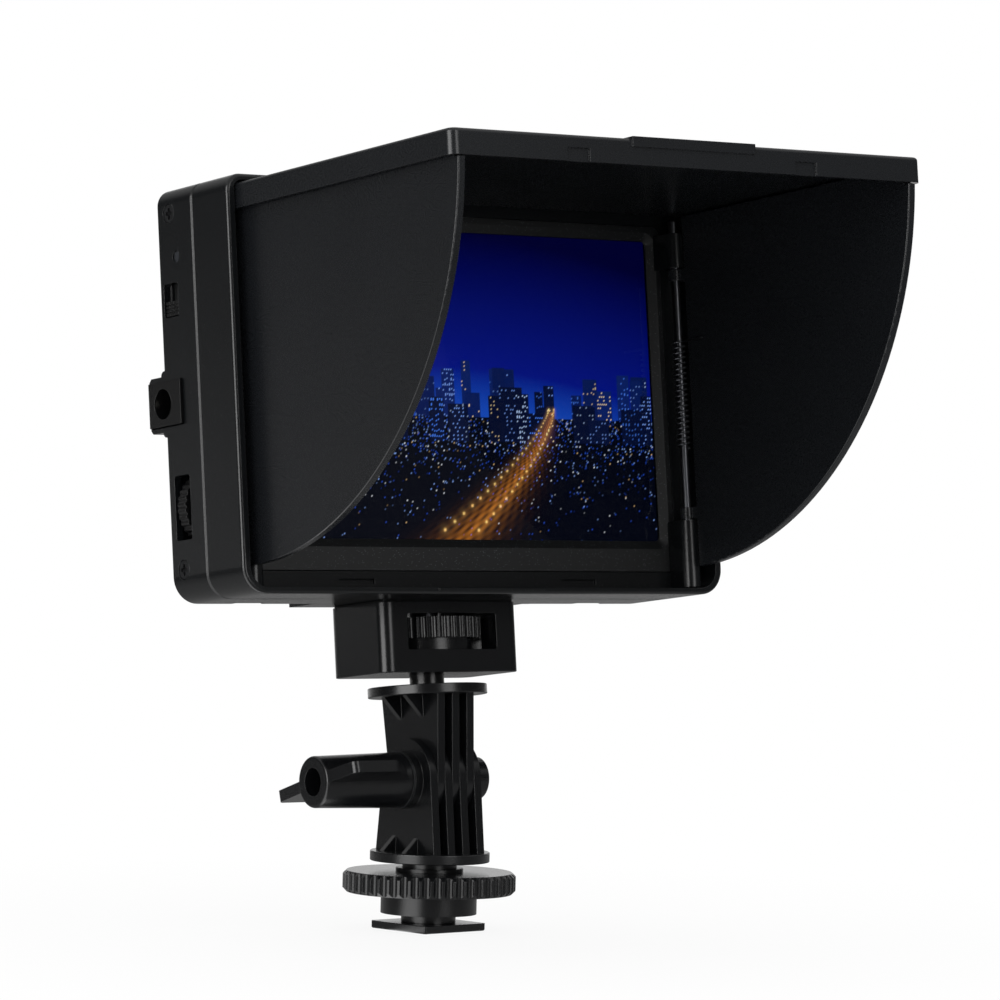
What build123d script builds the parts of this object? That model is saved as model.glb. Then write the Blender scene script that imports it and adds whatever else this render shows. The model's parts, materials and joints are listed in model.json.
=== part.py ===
"""Camera field monitor with a folding sun hood, a tilting head and a shoe foot.

The monitor is drawn upright in its own frame: X to the right, Y to the back, Z up,
with the origin at the bottom centre of its front plane.  One location, MONITOR_SEAT,
then carries it to its tilted place on the shoe mount, whose frame is the row frame:
origin at the centre of the shoe foot's underside, Z up.
"""

import os
from math import cos, radians, sin, sqrt

from build123d import *

# ---- monitor body, mm ------------------------------------------------------------
BODY_WIDTH = 131.5
BODY_HEIGHT = 91.0
SEAM_DEPTH = 14.1          # front plane to the seam between the shells
BODY_DEPTH = 27.8          # front plane to the flat rear face
BODY_CORNERS = (5.8, 3.8)  # corners of the outline: bottom and top
RIM = 1.4                  # rim round the front recess, at the bottom and top
SIDE_RIM = 1.9             # the same at the sides
RIM_CORNERS = (4.4, 2.0)   # corners of the recess: bottom and top
RIM_ROUND = 0.8
REAR_ROUND = 0.4
RECESS = 8.2               # front plane to the face of the bezel
FLOOR = 2.8                # floor of the recess
SHELL_WALL = 1.8
SEAM_CHAMFER = 0.45
BULGE_WIDTH = 62.0         # battery housing on the back
BULGE_DROP = 8.0           # body's top to the housing's top
BULGE_DEPTH = 9.4
BULGE_TAPER = 8.0          # degrees
BULGE_FOOT = (2.0, 4.0)    # upright foot of the housing: inset at the sides, height
BULGE_WALL = 3.0
MOUNT_PAD = 0.45           # raised pad that the mount block is pulled against
SET_IN = 0.15              # clearance round a piece that sits in a pocket
RUNNING = 0.05             # radial clearance of a turning fit
SLIDING = 0.2              # clearance round a button or slider

SEAM_SLOT = (38.5, 51.5)   # X range of the opening slots under the seam
SEAM_SLOT_WIDTH = 0.6
REAR_SLOT = (43.0, 51.0)   # X range of the recesses at the rear edge
REAR_SLOT_WIDTH = 2.2
SLOT_DEPTH = 0.8

# ---- bezel, display, board -------------------------------------------------------
BEZEL_INSET = 7.05         # body's side to the bezel's edge
BEZEL_BOTTOM = 5.8
BEZEL_DROP = 5.6           # body's top to the bezel's edge
BEZEL_CORNER = 2.0
BEZEL_THICK = 1.4
WINDOW_BORDER = 3.3        # bezel's edge to the window, at the sides and top
WINDOW_BOTTOM = 12.9
WINDOW_CORNER = 1.2
WINDOW_BEVEL = (1.9, 1.15) # across the face, into the plate
GLASS_THICK = 0.8
GLASS_MARGIN = 1.8         # glass beyond the window at the sides and top
GLASS_BELOW = 3.8          # glass beyond the window at the bottom
PANEL_THICK = 1.2
BACKLIGHT_THICK = 1.6
TRAY_WALL = 1.0
TRAY_BACK = 0.7
LATCH_SLOT = (9.6, 1.1)    # slots that catch the closed lid: width, height
LATCH_DEPTH = 0.9
LATCH_X = 30.6
LATCH_Z = 3.35
LIP_WIDTH = 29.0           # thumb lip on the bottom rim
LIP_PROUD = 0.5
LIP_HEIGHT = 1.3
BOARD_GAP = 2.95           # side wall to the board's edge
BOARD_BOTTOM = 12.5
BOARD_DROP = 11.5          # body's top to the board's edge
BOARD_THICK = 1.6
BOARD_LIFT = 4.5           # seam to the board's rear face
BOARD_POST = 5.6
BOARD_POST_SIDE = 17.0     # from the board's side edges
BOARD_POST_INSET = 4.5     # from the board's bottom and top edges
BOARD_SCREW = 2.5
BOARD_SCREW_HEAD = (4.4, 1.0)
BOARD_SCREW_REACH = 4.0
MAIN_CHIP = (0.016, 0.664, 18.0, 18.0, 1.6)  # shares across and up, then sizes
MEMORY_CHIP = (0.385, 0.672, 11.0, 11.0, 1.4)
DRIVER_CHIP = (-0.459, 0.664, 12.0, 10.0, 1.2)
COIL = (-0.393, 0.261, 12.0, 12.0, 4.2)
PANEL_PLUG = (0.541, 0.246, 22.0, 6.0, 3.0)
KEY_PLUG = (0.033, 0.873, 12.0, 6.0, 2.0)

# ---- screws that hold the shells together ----------------------------------------
CASE_SCREW = 2.0
CASE_SCREW_HEAD = 4.0
CASE_SCREW_HEAD_THICK = 1.2
CASE_SCREW_SUNK = 0.1      # face of the body to the screw's head
CASE_SCREW_LENGTH = 6.0
CASE_SCREW_INSET = 4.5     # from the flat rear face
CASE_SCREW_ENDS = (7.1, 5.7)       # from the body's bottom and top
LUG_THICK = 4.0
LUG_HALF = 2.2
LUG_CLEAR = 1.0            # side wall to the lugs, past the round corners
CROSS_SLOT = (2.6, 0.9)    # length and width of the screw's cross
CROSS_DEPTH = 0.7

# ---- controls and sockets on the left side ---------------------------------------
LED_DIA = 2.6
LED_BASE = 3.6
LED_SUNK = 0.4
LED_PLACE = (21.1, 15.5)           # Y, and down from the body's top
SWITCH_SLOT = (5.6, 7.5)           # Y and Z size of the opening
SLOT_CORNER = 0.6
SWITCH_PLACE = (23.6, 24.8)        # Y, and down from the body's top
SWITCH_KNOB = (4.8, 3.2)
SWITCH_TRAVEL = 3.6
SWITCH_RIBS = (3, 4)               # across and up
SWITCH_GROOVE = 0.3
SWITCH_STEM = 1.6
SWITCH_SKIN = 0.6          # inner face of the side wall to the slider's back
SWITCH_REACH = 1.1         # slider's stem into the body of the switch
SWITCH_BODY = 3.9
JACK_SIZE = (12.5, 9.8)
JACK_PLACE = (27.0, 43.8)
JACK_PROUD = 0.7
JACK_LENGTH = 12.6
JACK_BORE = 6.7
JACK_BORE_SHIFT = 0.75
JACK_BORE_DEPTH = 9.5
JACK_PIN = 1.6
JACK_PIN_SUNK = 2.5
JACK_FOOT = 8.0            # width of the block under the jack
JACK_WALL = 0.6
JACK_END = 2.4             # housing past the inner end of the jack
JACK_COVE = 1.2            # hollow round from the jack housing to the rear face
JACK_BEVEL = 0.8
DIAL_SLOT = (6.1, 14.2)
DIAL_PLACE = (22.45, 20.6)
DIAL_RADIUS = 8.6
DIAL_THICK = 3.0
DIAL_PROUD = 0.5
DIAL_TEETH = 36
DIAL_FLUTE = (0.6, 0.3)    # hollows round the dial: radius, depth
DIAL_GAP = 0.3
DIAL_SHAFT = 3.0
DIAL_BASE = 9.5
DIAL_CAP = 0.8
DIAL_CAP_DIA = 5.0

# ---- sockets on the right side and keys on the top -------------------------------
HDMI_SIZE = (6.0, 15.0)
HDMI_PLACE = (21.9, 50.0)
HDMI_MOUTH = (4.6, 13.8)
HDMI_LENGTH = 11.5
HDMI_TONGUE = (1.0, 11.0)  # thickness and width of its tongue
SOCKET_SUNK = 0.3
AV_SIZE = 6.6
AV_PLACE = (21.9, 31.0)
AV_BORE = 3.6
AV_LENGTH = 13.5
KEY_NAMES = ("menu", "minus", "plus", "input")
KEY_PITCH = 15.0
KEY_SIZE = (9.0, 4.2)
KEY_Y = 21.6
KEY_PROUD = 0.8
KEY_CORNER = 1.2
KEY_ROUND = 0.3
KEY_COLLAR = 0.8
KEY_STEM = 2.4
KEY_TRAVEL = 0.5
KEY_HEIGHT = 3.4
KEY_STRIP = 1.2
KEY_SWITCH = 4.4

# ---- battery plate ---------------------------------------------------------------
PLATE_WIDTH = 39.0
PLATE_BOTTOM = 10.0
PLATE_DROP = 11.0          # battery housing's top to the plate's top
PLATE_THICK = 4.0
PLATE_SUNK = 1.0
PLATE_CORNER = 0.8
RAIL_GROOVE = (1.5, 1.6)
RAIL_LIFT = 0.6            # housing's face to the rail groove
RAIL_STOP = 6.0
CONTACT_LIFT = 5.0
CONTACT_SLOT = 2.0
CONTACT_PITCH = 6.5
CONTACT_SIZE = (1.4, 0.8, 7.0)
RELEASE_SIZE = (10.0, 6.0)
RELEASE_TRAVEL = 2.0
RELEASE_PROUD = 1.2
RELEASE_SUNK = 2.2
RELEASE_DROP = 4.0
RELEASE_RIBS = (4, 1.1, 0.5)       # number, pitch, width

# ---- sun hood --------------------------------------------------------------------
LID_GAP = 0.5              # rim to the lid's side
LID_REACH = 79.0           # front plane to the lid's front edge
LID_DROP = 2.1             # body's top to the lid's top
LID_PLATE = 1.5
LID_SKIRT = 5.6
LID_WALL = 1.3
LID_CORNER = 2.0
LID_ROUND = 0.8
LID_TAIL = 4.0             # front plane back to the lid's rear edge, in the recess
LID_PIN = 1.6
LID_PIN_Y = 2.2
LID_PIN_DROP = 2.7         # lid's top to the hinge pin
LID_EAR = 2.6              # radius of the ear round the pin
LEDGE_WIDTH = 33.0
LEDGE_PROUD = 0.4
LEDGE_DEPTH = 3.0
LEDGE_HEIGHT = 1.8
NOTCH_SIZE = (5.8, 2.9)
NOTCH_DEPTH = 0.5
ROD_INSET = 6.45           # body's side to the hinge rods of the wings
ROD_DIA = 2.0
ROD_LIFT = 2.0             # bottom rim to the rod's lower end
LEFT_ROD_Y = 6.3
RIGHT_ROD_Y = 3.6          # nearer the front, so the folded wings lie in two layers
WING_THICK = 1.9
WING_ROUND = 0.3
WING_RADIUS = 82.4
WING_CENTRE_Y = 3.4        # centre of the round edge
WING_CENTRE_DROP = 0.1     # under the lid's top
WING_SIDE_GAP = 0.5        # lid's skirt to the wing
WING_TOP_GAP = 0.5         # under the lid's plate
WING_TIP_GAP = 0.5         # behind the lid's front skirt
WING_SETBACK = 3.1         # rod's centre to the wing's straight hinge edge
END_GAP = 0.3
HOLDER_RADIUS = 2.3        # holders that carry the rod
HOLDER_LIFT = 0.4          # clears the round corner of the recess
LOWER_HOLDER_TOP = 17.2
UPPER_HOLDER_DROPS = (13.7, 5.7)   # lid's top to the upper holder's ends
ROD_TIP = 3.1              # rod that stands out of the upper holder
COLLAR_DIA = 3.1           # collars of the wing on its rod
COLLAR_HEIGHT = 2.6
SPRING_DIA = 3.1
SPRING_WIRE = 0.5
SPRING_LENGTH = 25.0
SPRING_CENTRE = 46.0
SPRING_COILS = 20
SPRING_LEG = 9.0

# ---- mount block and its thumb wheel ---------------------------------------------
BLOCK = (37.4, 21.2, 15.75)
BLOCK_ROUND = 2.6
BLOCK_EDGE = 0.25
BLOCK_COVER = 2.55
BLOCK_WALL = 1.6           # wall of the block round the cover
BLOCK_SEAT = 2.1           # underside of the block to the seat of its washer
PAD_INSET = 1.0
AXIS_Y = 26.2              # Y of the stud axis in the monitor's frame
WINDOW = (24.4, 8.1)       # opening for the thumb wheel: width, height
WINDOW_ROUND = 0.6
THUMB_DIA = 25.2
THUMB_THICK = 4.7
THUMB_DROP = 0.7           # under the window's top
THUMB_TEETH = 34
THUMB_FLUTE = (0.85, 0.8)  # hollows round the wheel: radius, depth
THUMB_HUB = 21.0
THUMB_SINK = (8.0, 2.6)    # hollow under the wheel: diameter, height
THUMB_CLEAR = 0.5
STUD_DIA = 6.35            # quarter-inch camera thread
STUD_REACH = 6.0
THREAD_CHAMFER = 0.6
BUSH_OUTER = 10.0
BUSH_LENGTH = 8.0
COVER_SCREW = 2.0
COVER_SCREW_HEAD = (3.8, 1.2)
COVER_SCREW_SUNK = 1.4
COVER_SCREW_LENGTH = 6.0
COVER_SCREW_Y = 6.5
COVER_SCREW_EDGE = 0.6     # cover's edge to the screw's head

# ---- tilting head ----------------------------------------------------------------
REST_TILT = 7.0            # degrees that the screen leans back
FLANGE_DIA = 26.9
FLANGE_THICK = 2.2
FLANGE_ROUND = 0.2
NECK_DIA = 7.8
NECK_GAP = 2.5             # block's underside to the upper flange
UPPER_REACH = 18.7         # tilt axis to the upper flange
LOWER_REACH = 16.1         # tilt axis to the lower flange
PRONG_PITCH = 4.0
PRONG_GAP = 0.08           # clearance between neighbouring prongs
PRONG_END = 9.3            # radius of the prongs' round ends
PRONG_ROOTS = (10.8, 11.2) # half depth of the prongs at the upper and the lower flange
GUSSET_REACHES = (4.4, 3.4)  # on the upper and the lower flange
GUSSET_DROPS = (5.0, 3.4)
GUSSET_THICK = 1.4
GUSSET_Y = 4.2
TILT_BOLT = 5.0
BOLT_PROUD = 0.8           # bolt's end past the boss of the nut
KNOB_BOSS_DIA = 13.0
KNOB_BOSS = 2.0
WASHER_THICK = 0.5
KNOB_ROOT_DIA = 12.5
KNOB_END_DIA = 11.5
KNOB_LENGTH = 22.9
KNOB_ROUND = 0.6
KNOB_BORE = 6.3
KNOB_BORE_DEPTH = 9.0
BLADE_REACH = 15.5
BLADE_STARTS = (0.8, 0.2)  # knob's end to the blades: at their tips, at the sleeve
BLADE_FLAT = 12.6          # knob's end to where the blades slope in
BLADE_LENGTH = 21.7
BLADE_THICK = 2.6
BLADE_CORNER = 1.5
BLADE_ANGLE = -16.5
NUT_BOSS_DIA = 9.6
NUT_BOSS = 5.6
NUT_ACROSS = 8.0
NUT_THICK = 3.2
SWIVEL_WASHER = (13.0, 1.0)
SWIVEL_SCREW = 3.0
SWIVEL_SCREW_HEAD = (5.6, 1.2)
SWIVEL_SCREW_LENGTH = 6.5

# ---- shoe foot and lock wheel ----------------------------------------------------
FOOT_SIZE = 18.4
FOOT_THICK = 1.7
FOOT_CORNER = 0.7
FOOT_EDGE = 0.25
FOOT_TURN = 6.5            # degrees that the foot is turned under the post
FOOT_SINK = 1.3
POST_DIA = 12.3
HUB_DIA = 21.6
HUB_BOTTOM = 3.65
HUB_HEIGHT = 4.65
WHEEL_DIA = 38.9
WHEEL_THICK = 4.8
WHEEL_TEETH = 48
WHEEL_FLUTE = (0.95, 0.8)  # hollows round the wheel: radius, depth
WHEEL_RING = (15.2, 0.8)   # raised ring on top: diameter, height
WHEEL_ROUND = 0.6
WHEEL_CLEAR = 2.3          # gap above the wheel, to the lower flange
FOOT_SCREW = 3.0
FOOT_SCREW_HEAD = (5.8, 1.2)
FOOT_SCREW_LENGTH = 8.0
FOOT_SCREW_SUNK = 0.15

# ---- places worked out from the sizes above --------------------------------------
half_width = BODY_WIDTH / 2
mid_height = BODY_HEIGHT / 2
floor_back = RECESS + FLOOR
bezel_back = RECESS + BEZEL_THICK
bezel_width = BODY_WIDTH - 2 * BEZEL_INSET
bezel_top = BODY_HEIGHT - BEZEL_DROP
window_width = bezel_width - 2 * WINDOW_BORDER
window_top = bezel_top - WINDOW_BORDER
glass_half = window_width / 2 + GLASS_MARGIN
glass_bottom = WINDOW_BOTTOM - GLASS_BELOW
glass_top = window_top + GLASS_MARGIN
glass_back = bezel_back + GLASS_THICK
panel_back = glass_back + PANEL_THICK
backlight_back = panel_back + BACKLIGHT_THICK
inner_half = half_width - SHELL_WALL
rear_inside = BODY_DEPTH - SHELL_WALL
bulge_back = BODY_DEPTH + BULGE_DEPTH
bulge_height = BODY_HEIGHT - BULGE_DROP
plate_front = bulge_back - PLATE_SUNK
plate_back = plate_front + PLATE_THICK
plate_top = bulge_height - PLATE_DROP
contact_bottom = PLATE_BOTTOM + CONTACT_LIFT
board_back = SEAM_DEPTH + BOARD_LIFT
board_front = board_back - BOARD_THICK
board_half = inner_half - BOARD_GAP
board_top = BODY_HEIGHT - BOARD_DROP
post_x = board_half - BOARD_POST_SIDE
post_heights = (BOARD_BOTTOM + BOARD_POST_INSET, board_top - BOARD_POST_INSET)
case_screw_y = BODY_DEPTH - CASE_SCREW_INSET
case_screw_heights = (CASE_SCREW_ENDS[0], BODY_HEIGHT - CASE_SCREW_ENDS[1])
lug_outer = inner_half - LUG_CLEAR
led_z = BODY_HEIGHT - LED_PLACE[1]
switch_z = BODY_HEIGHT - SWITCH_PLACE[1]
pin_end = half_width - SIDE_RIM / 2
jack_start = -half_width - JACK_PROUD
jack_back = JACK_PLACE[0] + JACK_SIZE[0] / 2 + JACK_WALL
dial_x = -half_width - DIAL_PROUD + DIAL_RADIUS
top_inside = BODY_HEIGHT - SHELL_WALL
block_top = -MOUNT_PAD
block_floor = block_top - BLOCK_COVER - WINDOW[1]
block_bottom = block_top - BLOCK[2]
washer_seat = block_bottom + BLOCK_SEAT + RUNNING
cover_screw_x = BLOCK[0] / 2 - BLOCK_WALL - COVER_SCREW_EDGE - COVER_SCREW_HEAD[0] / 2
thumb_top = block_top - BLOCK_COVER - THUMB_DROP
upper_flange_top = block_bottom - NECK_GAP
upper_flange_bottom = upper_flange_top - FLANGE_THICK
axis_drop = upper_flange_bottom - UPPER_REACH
hub_top = HUB_BOTTOM + HUB_HEIGHT
wheel_top = hub_top + WHEEL_THICK
lower_flange_bottom = wheel_top + WHEEL_CLEAR
lower_flange_top = lower_flange_bottom + FLANGE_THICK
axis_height = lower_flange_top + LOWER_REACH
prong_thick = PRONG_PITCH / 2 - PRONG_GAP
upper_prongs = (-PRONG_PITCH, 0.0, PRONG_PITCH)
lower_prongs = tuple((i - 1.5) * PRONG_PITCH for i in range(4))
outer_face = 1.5 * PRONG_PITCH + prong_thick / 2
nut_seat = outer_face + NUT_BOSS - NUT_THICK
lid_half = half_width - SIDE_RIM - LID_GAP
lid_top = BODY_HEIGHT - LID_DROP
lid_under = lid_top - LID_PLATE
lid_pin_z = lid_top - LID_PIN_DROP
skirt_bottom = lid_top - LID_SKIRT
rod_x = half_width - ROD_INSET
wing_outer = lid_half - LID_WALL - WING_SIDE_GAP
wing_inner = wing_outer - WING_THICK
wing_centre_z = lid_top - WING_CENTRE_DROP
wing_top = lid_under - WING_TOP_GAP
wing_tip = -(LID_REACH - LID_WALL - WING_TIP_GAP)
upper_holder = tuple(lid_top - drop for drop in UPPER_HOLDER_DROPS)
spring_bottom = SPRING_CENTRE - SPRING_LENGTH / 2
rod_bottom = RIM + ROD_LIFT
rod_top = upper_holder[1] + ROD_TIP
knob_start = outer_face + KNOB_BOSS + WASHER_THICK
knob_end = knob_start + KNOB_LENGTH

ROOT_SEAT = Location((0, 0, 0))
MONITOR_SEAT = (
    Location((0, 0, axis_height))
    * Location((0, 0, 0), (-REST_TILT, 0, 0))
    * Location((0, -AXIS_Y, -axis_drop))
)


def keep(piece, label, seat=MONITOR_SEAT):
    """Carry a finished piece to its seat, name it and write it as a STEP file."""
    placed = piece.moved(seat)
    placed.label = label
    export_step(placed, f"parts/{label}.step")


def facing_back(y):
    """Plane across Y at depth y, drawn in X and Z, extruding towards the back."""
    return Plane(origin=(0, y, 0), x_dir=(-1, 0, 0), z_dir=(0, 1, 0))


def facing_side(x):
    """Plane across X, drawn in Y and Z, extruding towards +X."""
    return Plane(origin=(x, 0, 0), x_dir=(0, 1, 0), z_dir=(1, 0, 0))


def slab(x_range, y_range, z_range, mode=Mode.ADD):
    """Rectangular block between two corners, for pockets, ribs and pads."""
    size = [high - low for low, high in (x_range, y_range, z_range)]
    centre = [(high + low) / 2 for low, high in (x_range, y_range, z_range)]
    with Locations(tuple(centre)):
        Box(*size, mode=mode)


def rod_along(direction, start, length, diameter, mode=Mode.ADD):
    """Round bar from a start point along one direction."""
    with BuildSketch(Plane(origin=start, z_dir=direction)) as disc:
        Circle(diameter / 2)
    extrude(disc.sketch, amount=length, mode=mode)


def rounded_slab(width, bottom, top, corner, y_range, mode=Mode.ADD):
    """Plate across Y, centred on X, with round corners."""
    with BuildSketch(facing_back(y_range[0])) as face:
        with Locations((0, (bottom + top) / 2)):
            RectangleRounded(width, top - bottom, corner)
    extrude(face.sketch, amount=y_range[1] - y_range[0], mode=mode)


def body_slab(inset, y_range, mode=Mode.ADD):
    """Plate across Y in the outline of the body, a step in from it all round."""
    with BuildSketch(facing_back(y_range[0])) as face:
        with Locations((0, mid_height)):
            Rectangle(BODY_WIDTH - 2 * inset, BODY_HEIGHT - 2 * inset)
        fillet(face.vertices().group_by(Axis.Y)[0], BODY_CORNERS[0] - inset)
        fillet(face.vertices().group_by(Axis.Y)[-1], BODY_CORNERS[1] - inset)
    extrude(face.sketch, amount=y_range[1] - y_range[0], mode=mode)


def fluted(plane, radius, flutes, hollow, thick):
    """Disc with round hollows side by side along its edge."""
    flute_radius, depth = hollow
    with BuildSketch(plane) as edge:
        Circle(radius)
        with PolarLocations(radius + flute_radius - depth, flutes):
            Circle(flute_radius, mode=Mode.SUBTRACT)
    extrude(edge.sketch, amount=thick)


# ---- shells ----------------------------------------------------------------------
def front_shell():
    """Front shell: rim, recess floor with the bezel's seat, latch slots and lugs."""
    with BuildPart() as shell:
        body_slab(0, (0, SEAM_DEPTH))
        chamfer(shell.faces().sort_by(Axis.Y)[-1].edges(), SEAM_CHAMFER)
        fillet(shell.faces().sort_by(Axis.Y)[0].edges(), RIM_ROUND)
        with BuildSketch(facing_back(0)) as recess:
            with Locations((0, mid_height)):
                Rectangle(BODY_WIDTH - 2 * SIDE_RIM, BODY_HEIGHT - 2 * RIM)
            fillet(recess.vertices().group_by(Axis.Y)[0], RIM_CORNERS[0])
            fillet(recess.vertices().group_by(Axis.Y)[-1], RIM_CORNERS[1])
        extrude(amount=RECESS, mode=Mode.SUBTRACT)
        rounded_slab(
            bezel_width + 2 * SET_IN, BEZEL_BOTTOM - SET_IN, bezel_top + SET_IN, BEZEL_CORNER,
            (RECESS, bezel_back), Mode.SUBTRACT,
        )
        slab(
            (-glass_half - SET_IN, glass_half + SET_IN), (bezel_back, floor_back),
            (glass_bottom - SET_IN, glass_top + SET_IN), Mode.SUBTRACT,
        )
        body_slab(SHELL_WALL, (floor_back, SEAM_DEPTH), Mode.SUBTRACT)
        for side in (-1, 1):
            latch_slot(side)
            rod_along(
                (-side, 0, 0), (side * (pin_end + RUNNING), LID_PIN_Y, lid_pin_z),
                SIDE_RIM, LID_PIN + 2 * RUNNING, Mode.SUBTRACT,
            )
            for height in case_screw_heights:
                case_lug(side, height)
        slab((-LIP_WIDTH / 2, LIP_WIDTH / 2), (-LIP_PROUD, RIM_ROUND + SET_IN), (RIM_ROUND, LIP_HEIGHT))
    return shell.part


def latch_slot(side):
    """Shallow slot in the floor of the recess that catches the closed lid."""
    x = side * LATCH_X
    slab(
        (x - LATCH_SLOT[0] / 2, x + LATCH_SLOT[0] / 2), (RECESS, RECESS + LATCH_DEPTH),
        (LATCH_Z - LATCH_SLOT[1] / 2, LATCH_Z + LATCH_SLOT[1] / 2), Mode.SUBTRACT,
    )


def case_lug(side, height):
    """Lug behind the side wall that one case screw bites into."""
    slab(
        sorted((side * (lug_outer - LUG_THICK), side * lug_outer)),
        (floor_back, rear_inside - END_GAP), (height - LUG_HALF, height + LUG_HALF),
    )
    rod_along(
        (side, 0, 0), (side * (lug_outer - LUG_THICK), case_screw_y, height),
        LUG_THICK, CASE_SCREW, Mode.SUBTRACT,
    )


def rear_shell():
    """Rear shell with the battery housing, the jack housing, posts and openings."""
    with BuildPart() as shell:
        body_slab(0, (SEAM_DEPTH, BODY_DEPTH))
        fillet(shell.faces().sort_by(Axis.Y)[-1].edges(), REAR_ROUND)
        chamfer(shell.faces().sort_by(Axis.Y)[0].edges(), SEAM_CHAMFER)
        with BuildSketch(facing_back(BODY_DEPTH)):
            with Locations((0, bulge_height / 2)):
                Rectangle(BULGE_WIDTH, bulge_height)
        extrude(amount=BULGE_DEPTH, taper=BULGE_TAPER)
        foot_half = BULGE_WIDTH / 2 - BULGE_FOOT[0]
        slab((-foot_half, foot_half), (BODY_DEPTH, bulge_back), (0, BULGE_FOOT[1]))
        jack_housing()
        body_slab(SHELL_WALL, (SEAM_DEPTH, rear_inside), Mode.SUBTRACT)
        slab(
            (BULGE_WALL - BULGE_WIDTH / 2, BULGE_WIDTH / 2 - BULGE_WALL),
            (rear_inside, bulge_back - SHELL_WALL), (SHELL_WALL, bulge_height - BULGE_WALL),
            Mode.SUBTRACT,
        )
        board_posts()
        bush_seat()
        side_openings()
        key_openings()
        battery_seat()
        underside_slots()
    return shell.part


def board_posts():
    """Four posts for the circuit board, bored for its screws."""
    for x in (-post_x, post_x):
        for z in post_heights:
            start = (x, board_back, z)
            rod_along((0, 1, 0), start, BODY_DEPTH - SHELL_WALL / 2 - board_back, BOARD_POST)
            rod_along((0, 1, 0), start, BOARD_SCREW_REACH + BOARD_THICK, BOARD_SCREW, Mode.SUBTRACT)


def bush_seat():
    """Sleeve for the threaded bush in the underside, with the pad round it."""
    rod_along((0, 0, 1), (0, AXIS_Y, 0), BUSH_LENGTH + SHELL_WALL, BUSH_OUTER + 2 * SHELL_WALL)
    pad = (BLOCK[0] / 2 - PAD_INSET, BLOCK[1] / 2 - PAD_INSET)
    slab((-pad[0], pad[0]), (AXIS_Y - pad[1], AXIS_Y + pad[1]), (-MOUNT_PAD, 0))
    rod_along((0, 0, 1), (0, AXIS_Y, -MOUNT_PAD), MOUNT_PAD + BUSH_LENGTH, BUSH_OUTER, Mode.SUBTRACT)


def jack_housing():
    """Hollow box on the rear face round the power jack, with coved sides."""
    half = JACK_SIZE[1] / 2 + 2 * JACK_WALL
    low = JACK_PLACE[1] - half
    high = JACK_PLACE[1] + half
    cove_back = BODY_DEPTH + JACK_COVE
    with BuildSketch(facing_side(-half_width)) as housing:
        with BuildLine():
            Line((rear_inside, low - JACK_COVE), (BODY_DEPTH, low - JACK_COVE))
            RadiusArc((BODY_DEPTH, low - JACK_COVE), (cove_back, low), -JACK_COVE)
            Polyline(
                (cove_back, low), (jack_back - JACK_BEVEL, low), (jack_back, low + JACK_BEVEL),
                (jack_back, high - JACK_BEVEL), (jack_back - JACK_BEVEL, high), (cove_back, high),
            )
            RadiusArc((cove_back, high), (BODY_DEPTH, high + JACK_COVE), -JACK_COVE)
            Polyline(
                (BODY_DEPTH, high + JACK_COVE), (rear_inside, high + JACK_COVE),
                (rear_inside, low - JACK_COVE),
            )
        make_face()
    extrude(housing.sketch, amount=JACK_LENGTH + JACK_END)


def side_slot(walls, place, size, corner):
    """Round-cornered opening through one side wall."""
    with BuildSketch(facing_side(walls[0])) as mouth:
        with Locations(place):
            RectangleRounded(*size, corner)
    extrude(mouth.sketch, amount=walls[1] - walls[0], mode=Mode.SUBTRACT)


def side_openings():
    """Openings in both side walls for the controls, sockets and case screws."""
    left = (-half_width - 1, -inner_half)
    right = (inner_half, half_width + 1)
    jack_x = (-half_width - 1, -half_width - JACK_PROUD + JACK_LENGTH + SET_IN)
    jack_half = (JACK_SIZE[0] / 2 + SET_IN, JACK_SIZE[1] / 2 + SET_IN)
    slab(
        jack_x, (JACK_PLACE[0] - jack_half[0], JACK_PLACE[0] + jack_half[0]),
        (JACK_PLACE[1] - jack_half[1], JACK_PLACE[1] + jack_half[1]), Mode.SUBTRACT,
    )
    side_slot(left, (SWITCH_PLACE[0], switch_z), SWITCH_SLOT, SLOT_CORNER)
    side_slot(left, DIAL_PLACE, DIAL_SLOT, SLOT_CORNER)
    side_slot(right, HDMI_PLACE, (HDMI_SIZE[0] + 2 * SET_IN, HDMI_SIZE[1] + 2 * SET_IN), SET_IN)
    rod_along(
        (-1, 0, 0), (-inner_half, LED_PLACE[0], led_z), SHELL_WALL, LED_DIA + 2 * RUNNING,
        Mode.SUBTRACT,
    )
    rod_along((1, 0, 0), (inner_half, *AV_PLACE), SHELL_WALL, AV_SIZE + 2 * SET_IN, Mode.SUBTRACT)
    for side in (-1, 1):
        for height in case_screw_heights:
            case_screw_pocket(side, height)


def case_screw_pocket(side, height):
    """Pad inside the wall and the pocket in it for one case screw."""
    start = (side * (half_width - CASE_SCREW_HEAD_THICK), case_screw_y, height)
    rod_along(
        (side, 0, 0), (side * (lug_outer + SET_IN), case_screw_y, height), LUG_CLEAR, CASE_SCREW_HEAD
    )
    rod_along(
        (side, 0, 0), start, 2 * CASE_SCREW_HEAD_THICK, CASE_SCREW_HEAD + 2 * SET_IN, Mode.SUBTRACT
    )
    rod_along((-side, 0, 0), start, SHELL_WALL + LUG_CLEAR, CASE_SCREW + 2 * SET_IN, Mode.SUBTRACT)


def key_xs():
    """X of each key on the top of the body."""
    return [(i - (len(KEY_NAMES) - 1) / 2) * KEY_PITCH for i in range(len(KEY_NAMES))]


def key_openings():
    """Openings in the top wall for the keys."""
    for x in key_xs():
        slab(
            (x - KEY_SIZE[0] / 2 - SLIDING, x + KEY_SIZE[0] / 2 + SLIDING),
            (KEY_Y - KEY_SIZE[1] / 2 - SLIDING, KEY_Y + KEY_SIZE[1] / 2 + SLIDING),
            (top_inside, BODY_HEIGHT + 1), Mode.SUBTRACT,
        )


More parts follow.
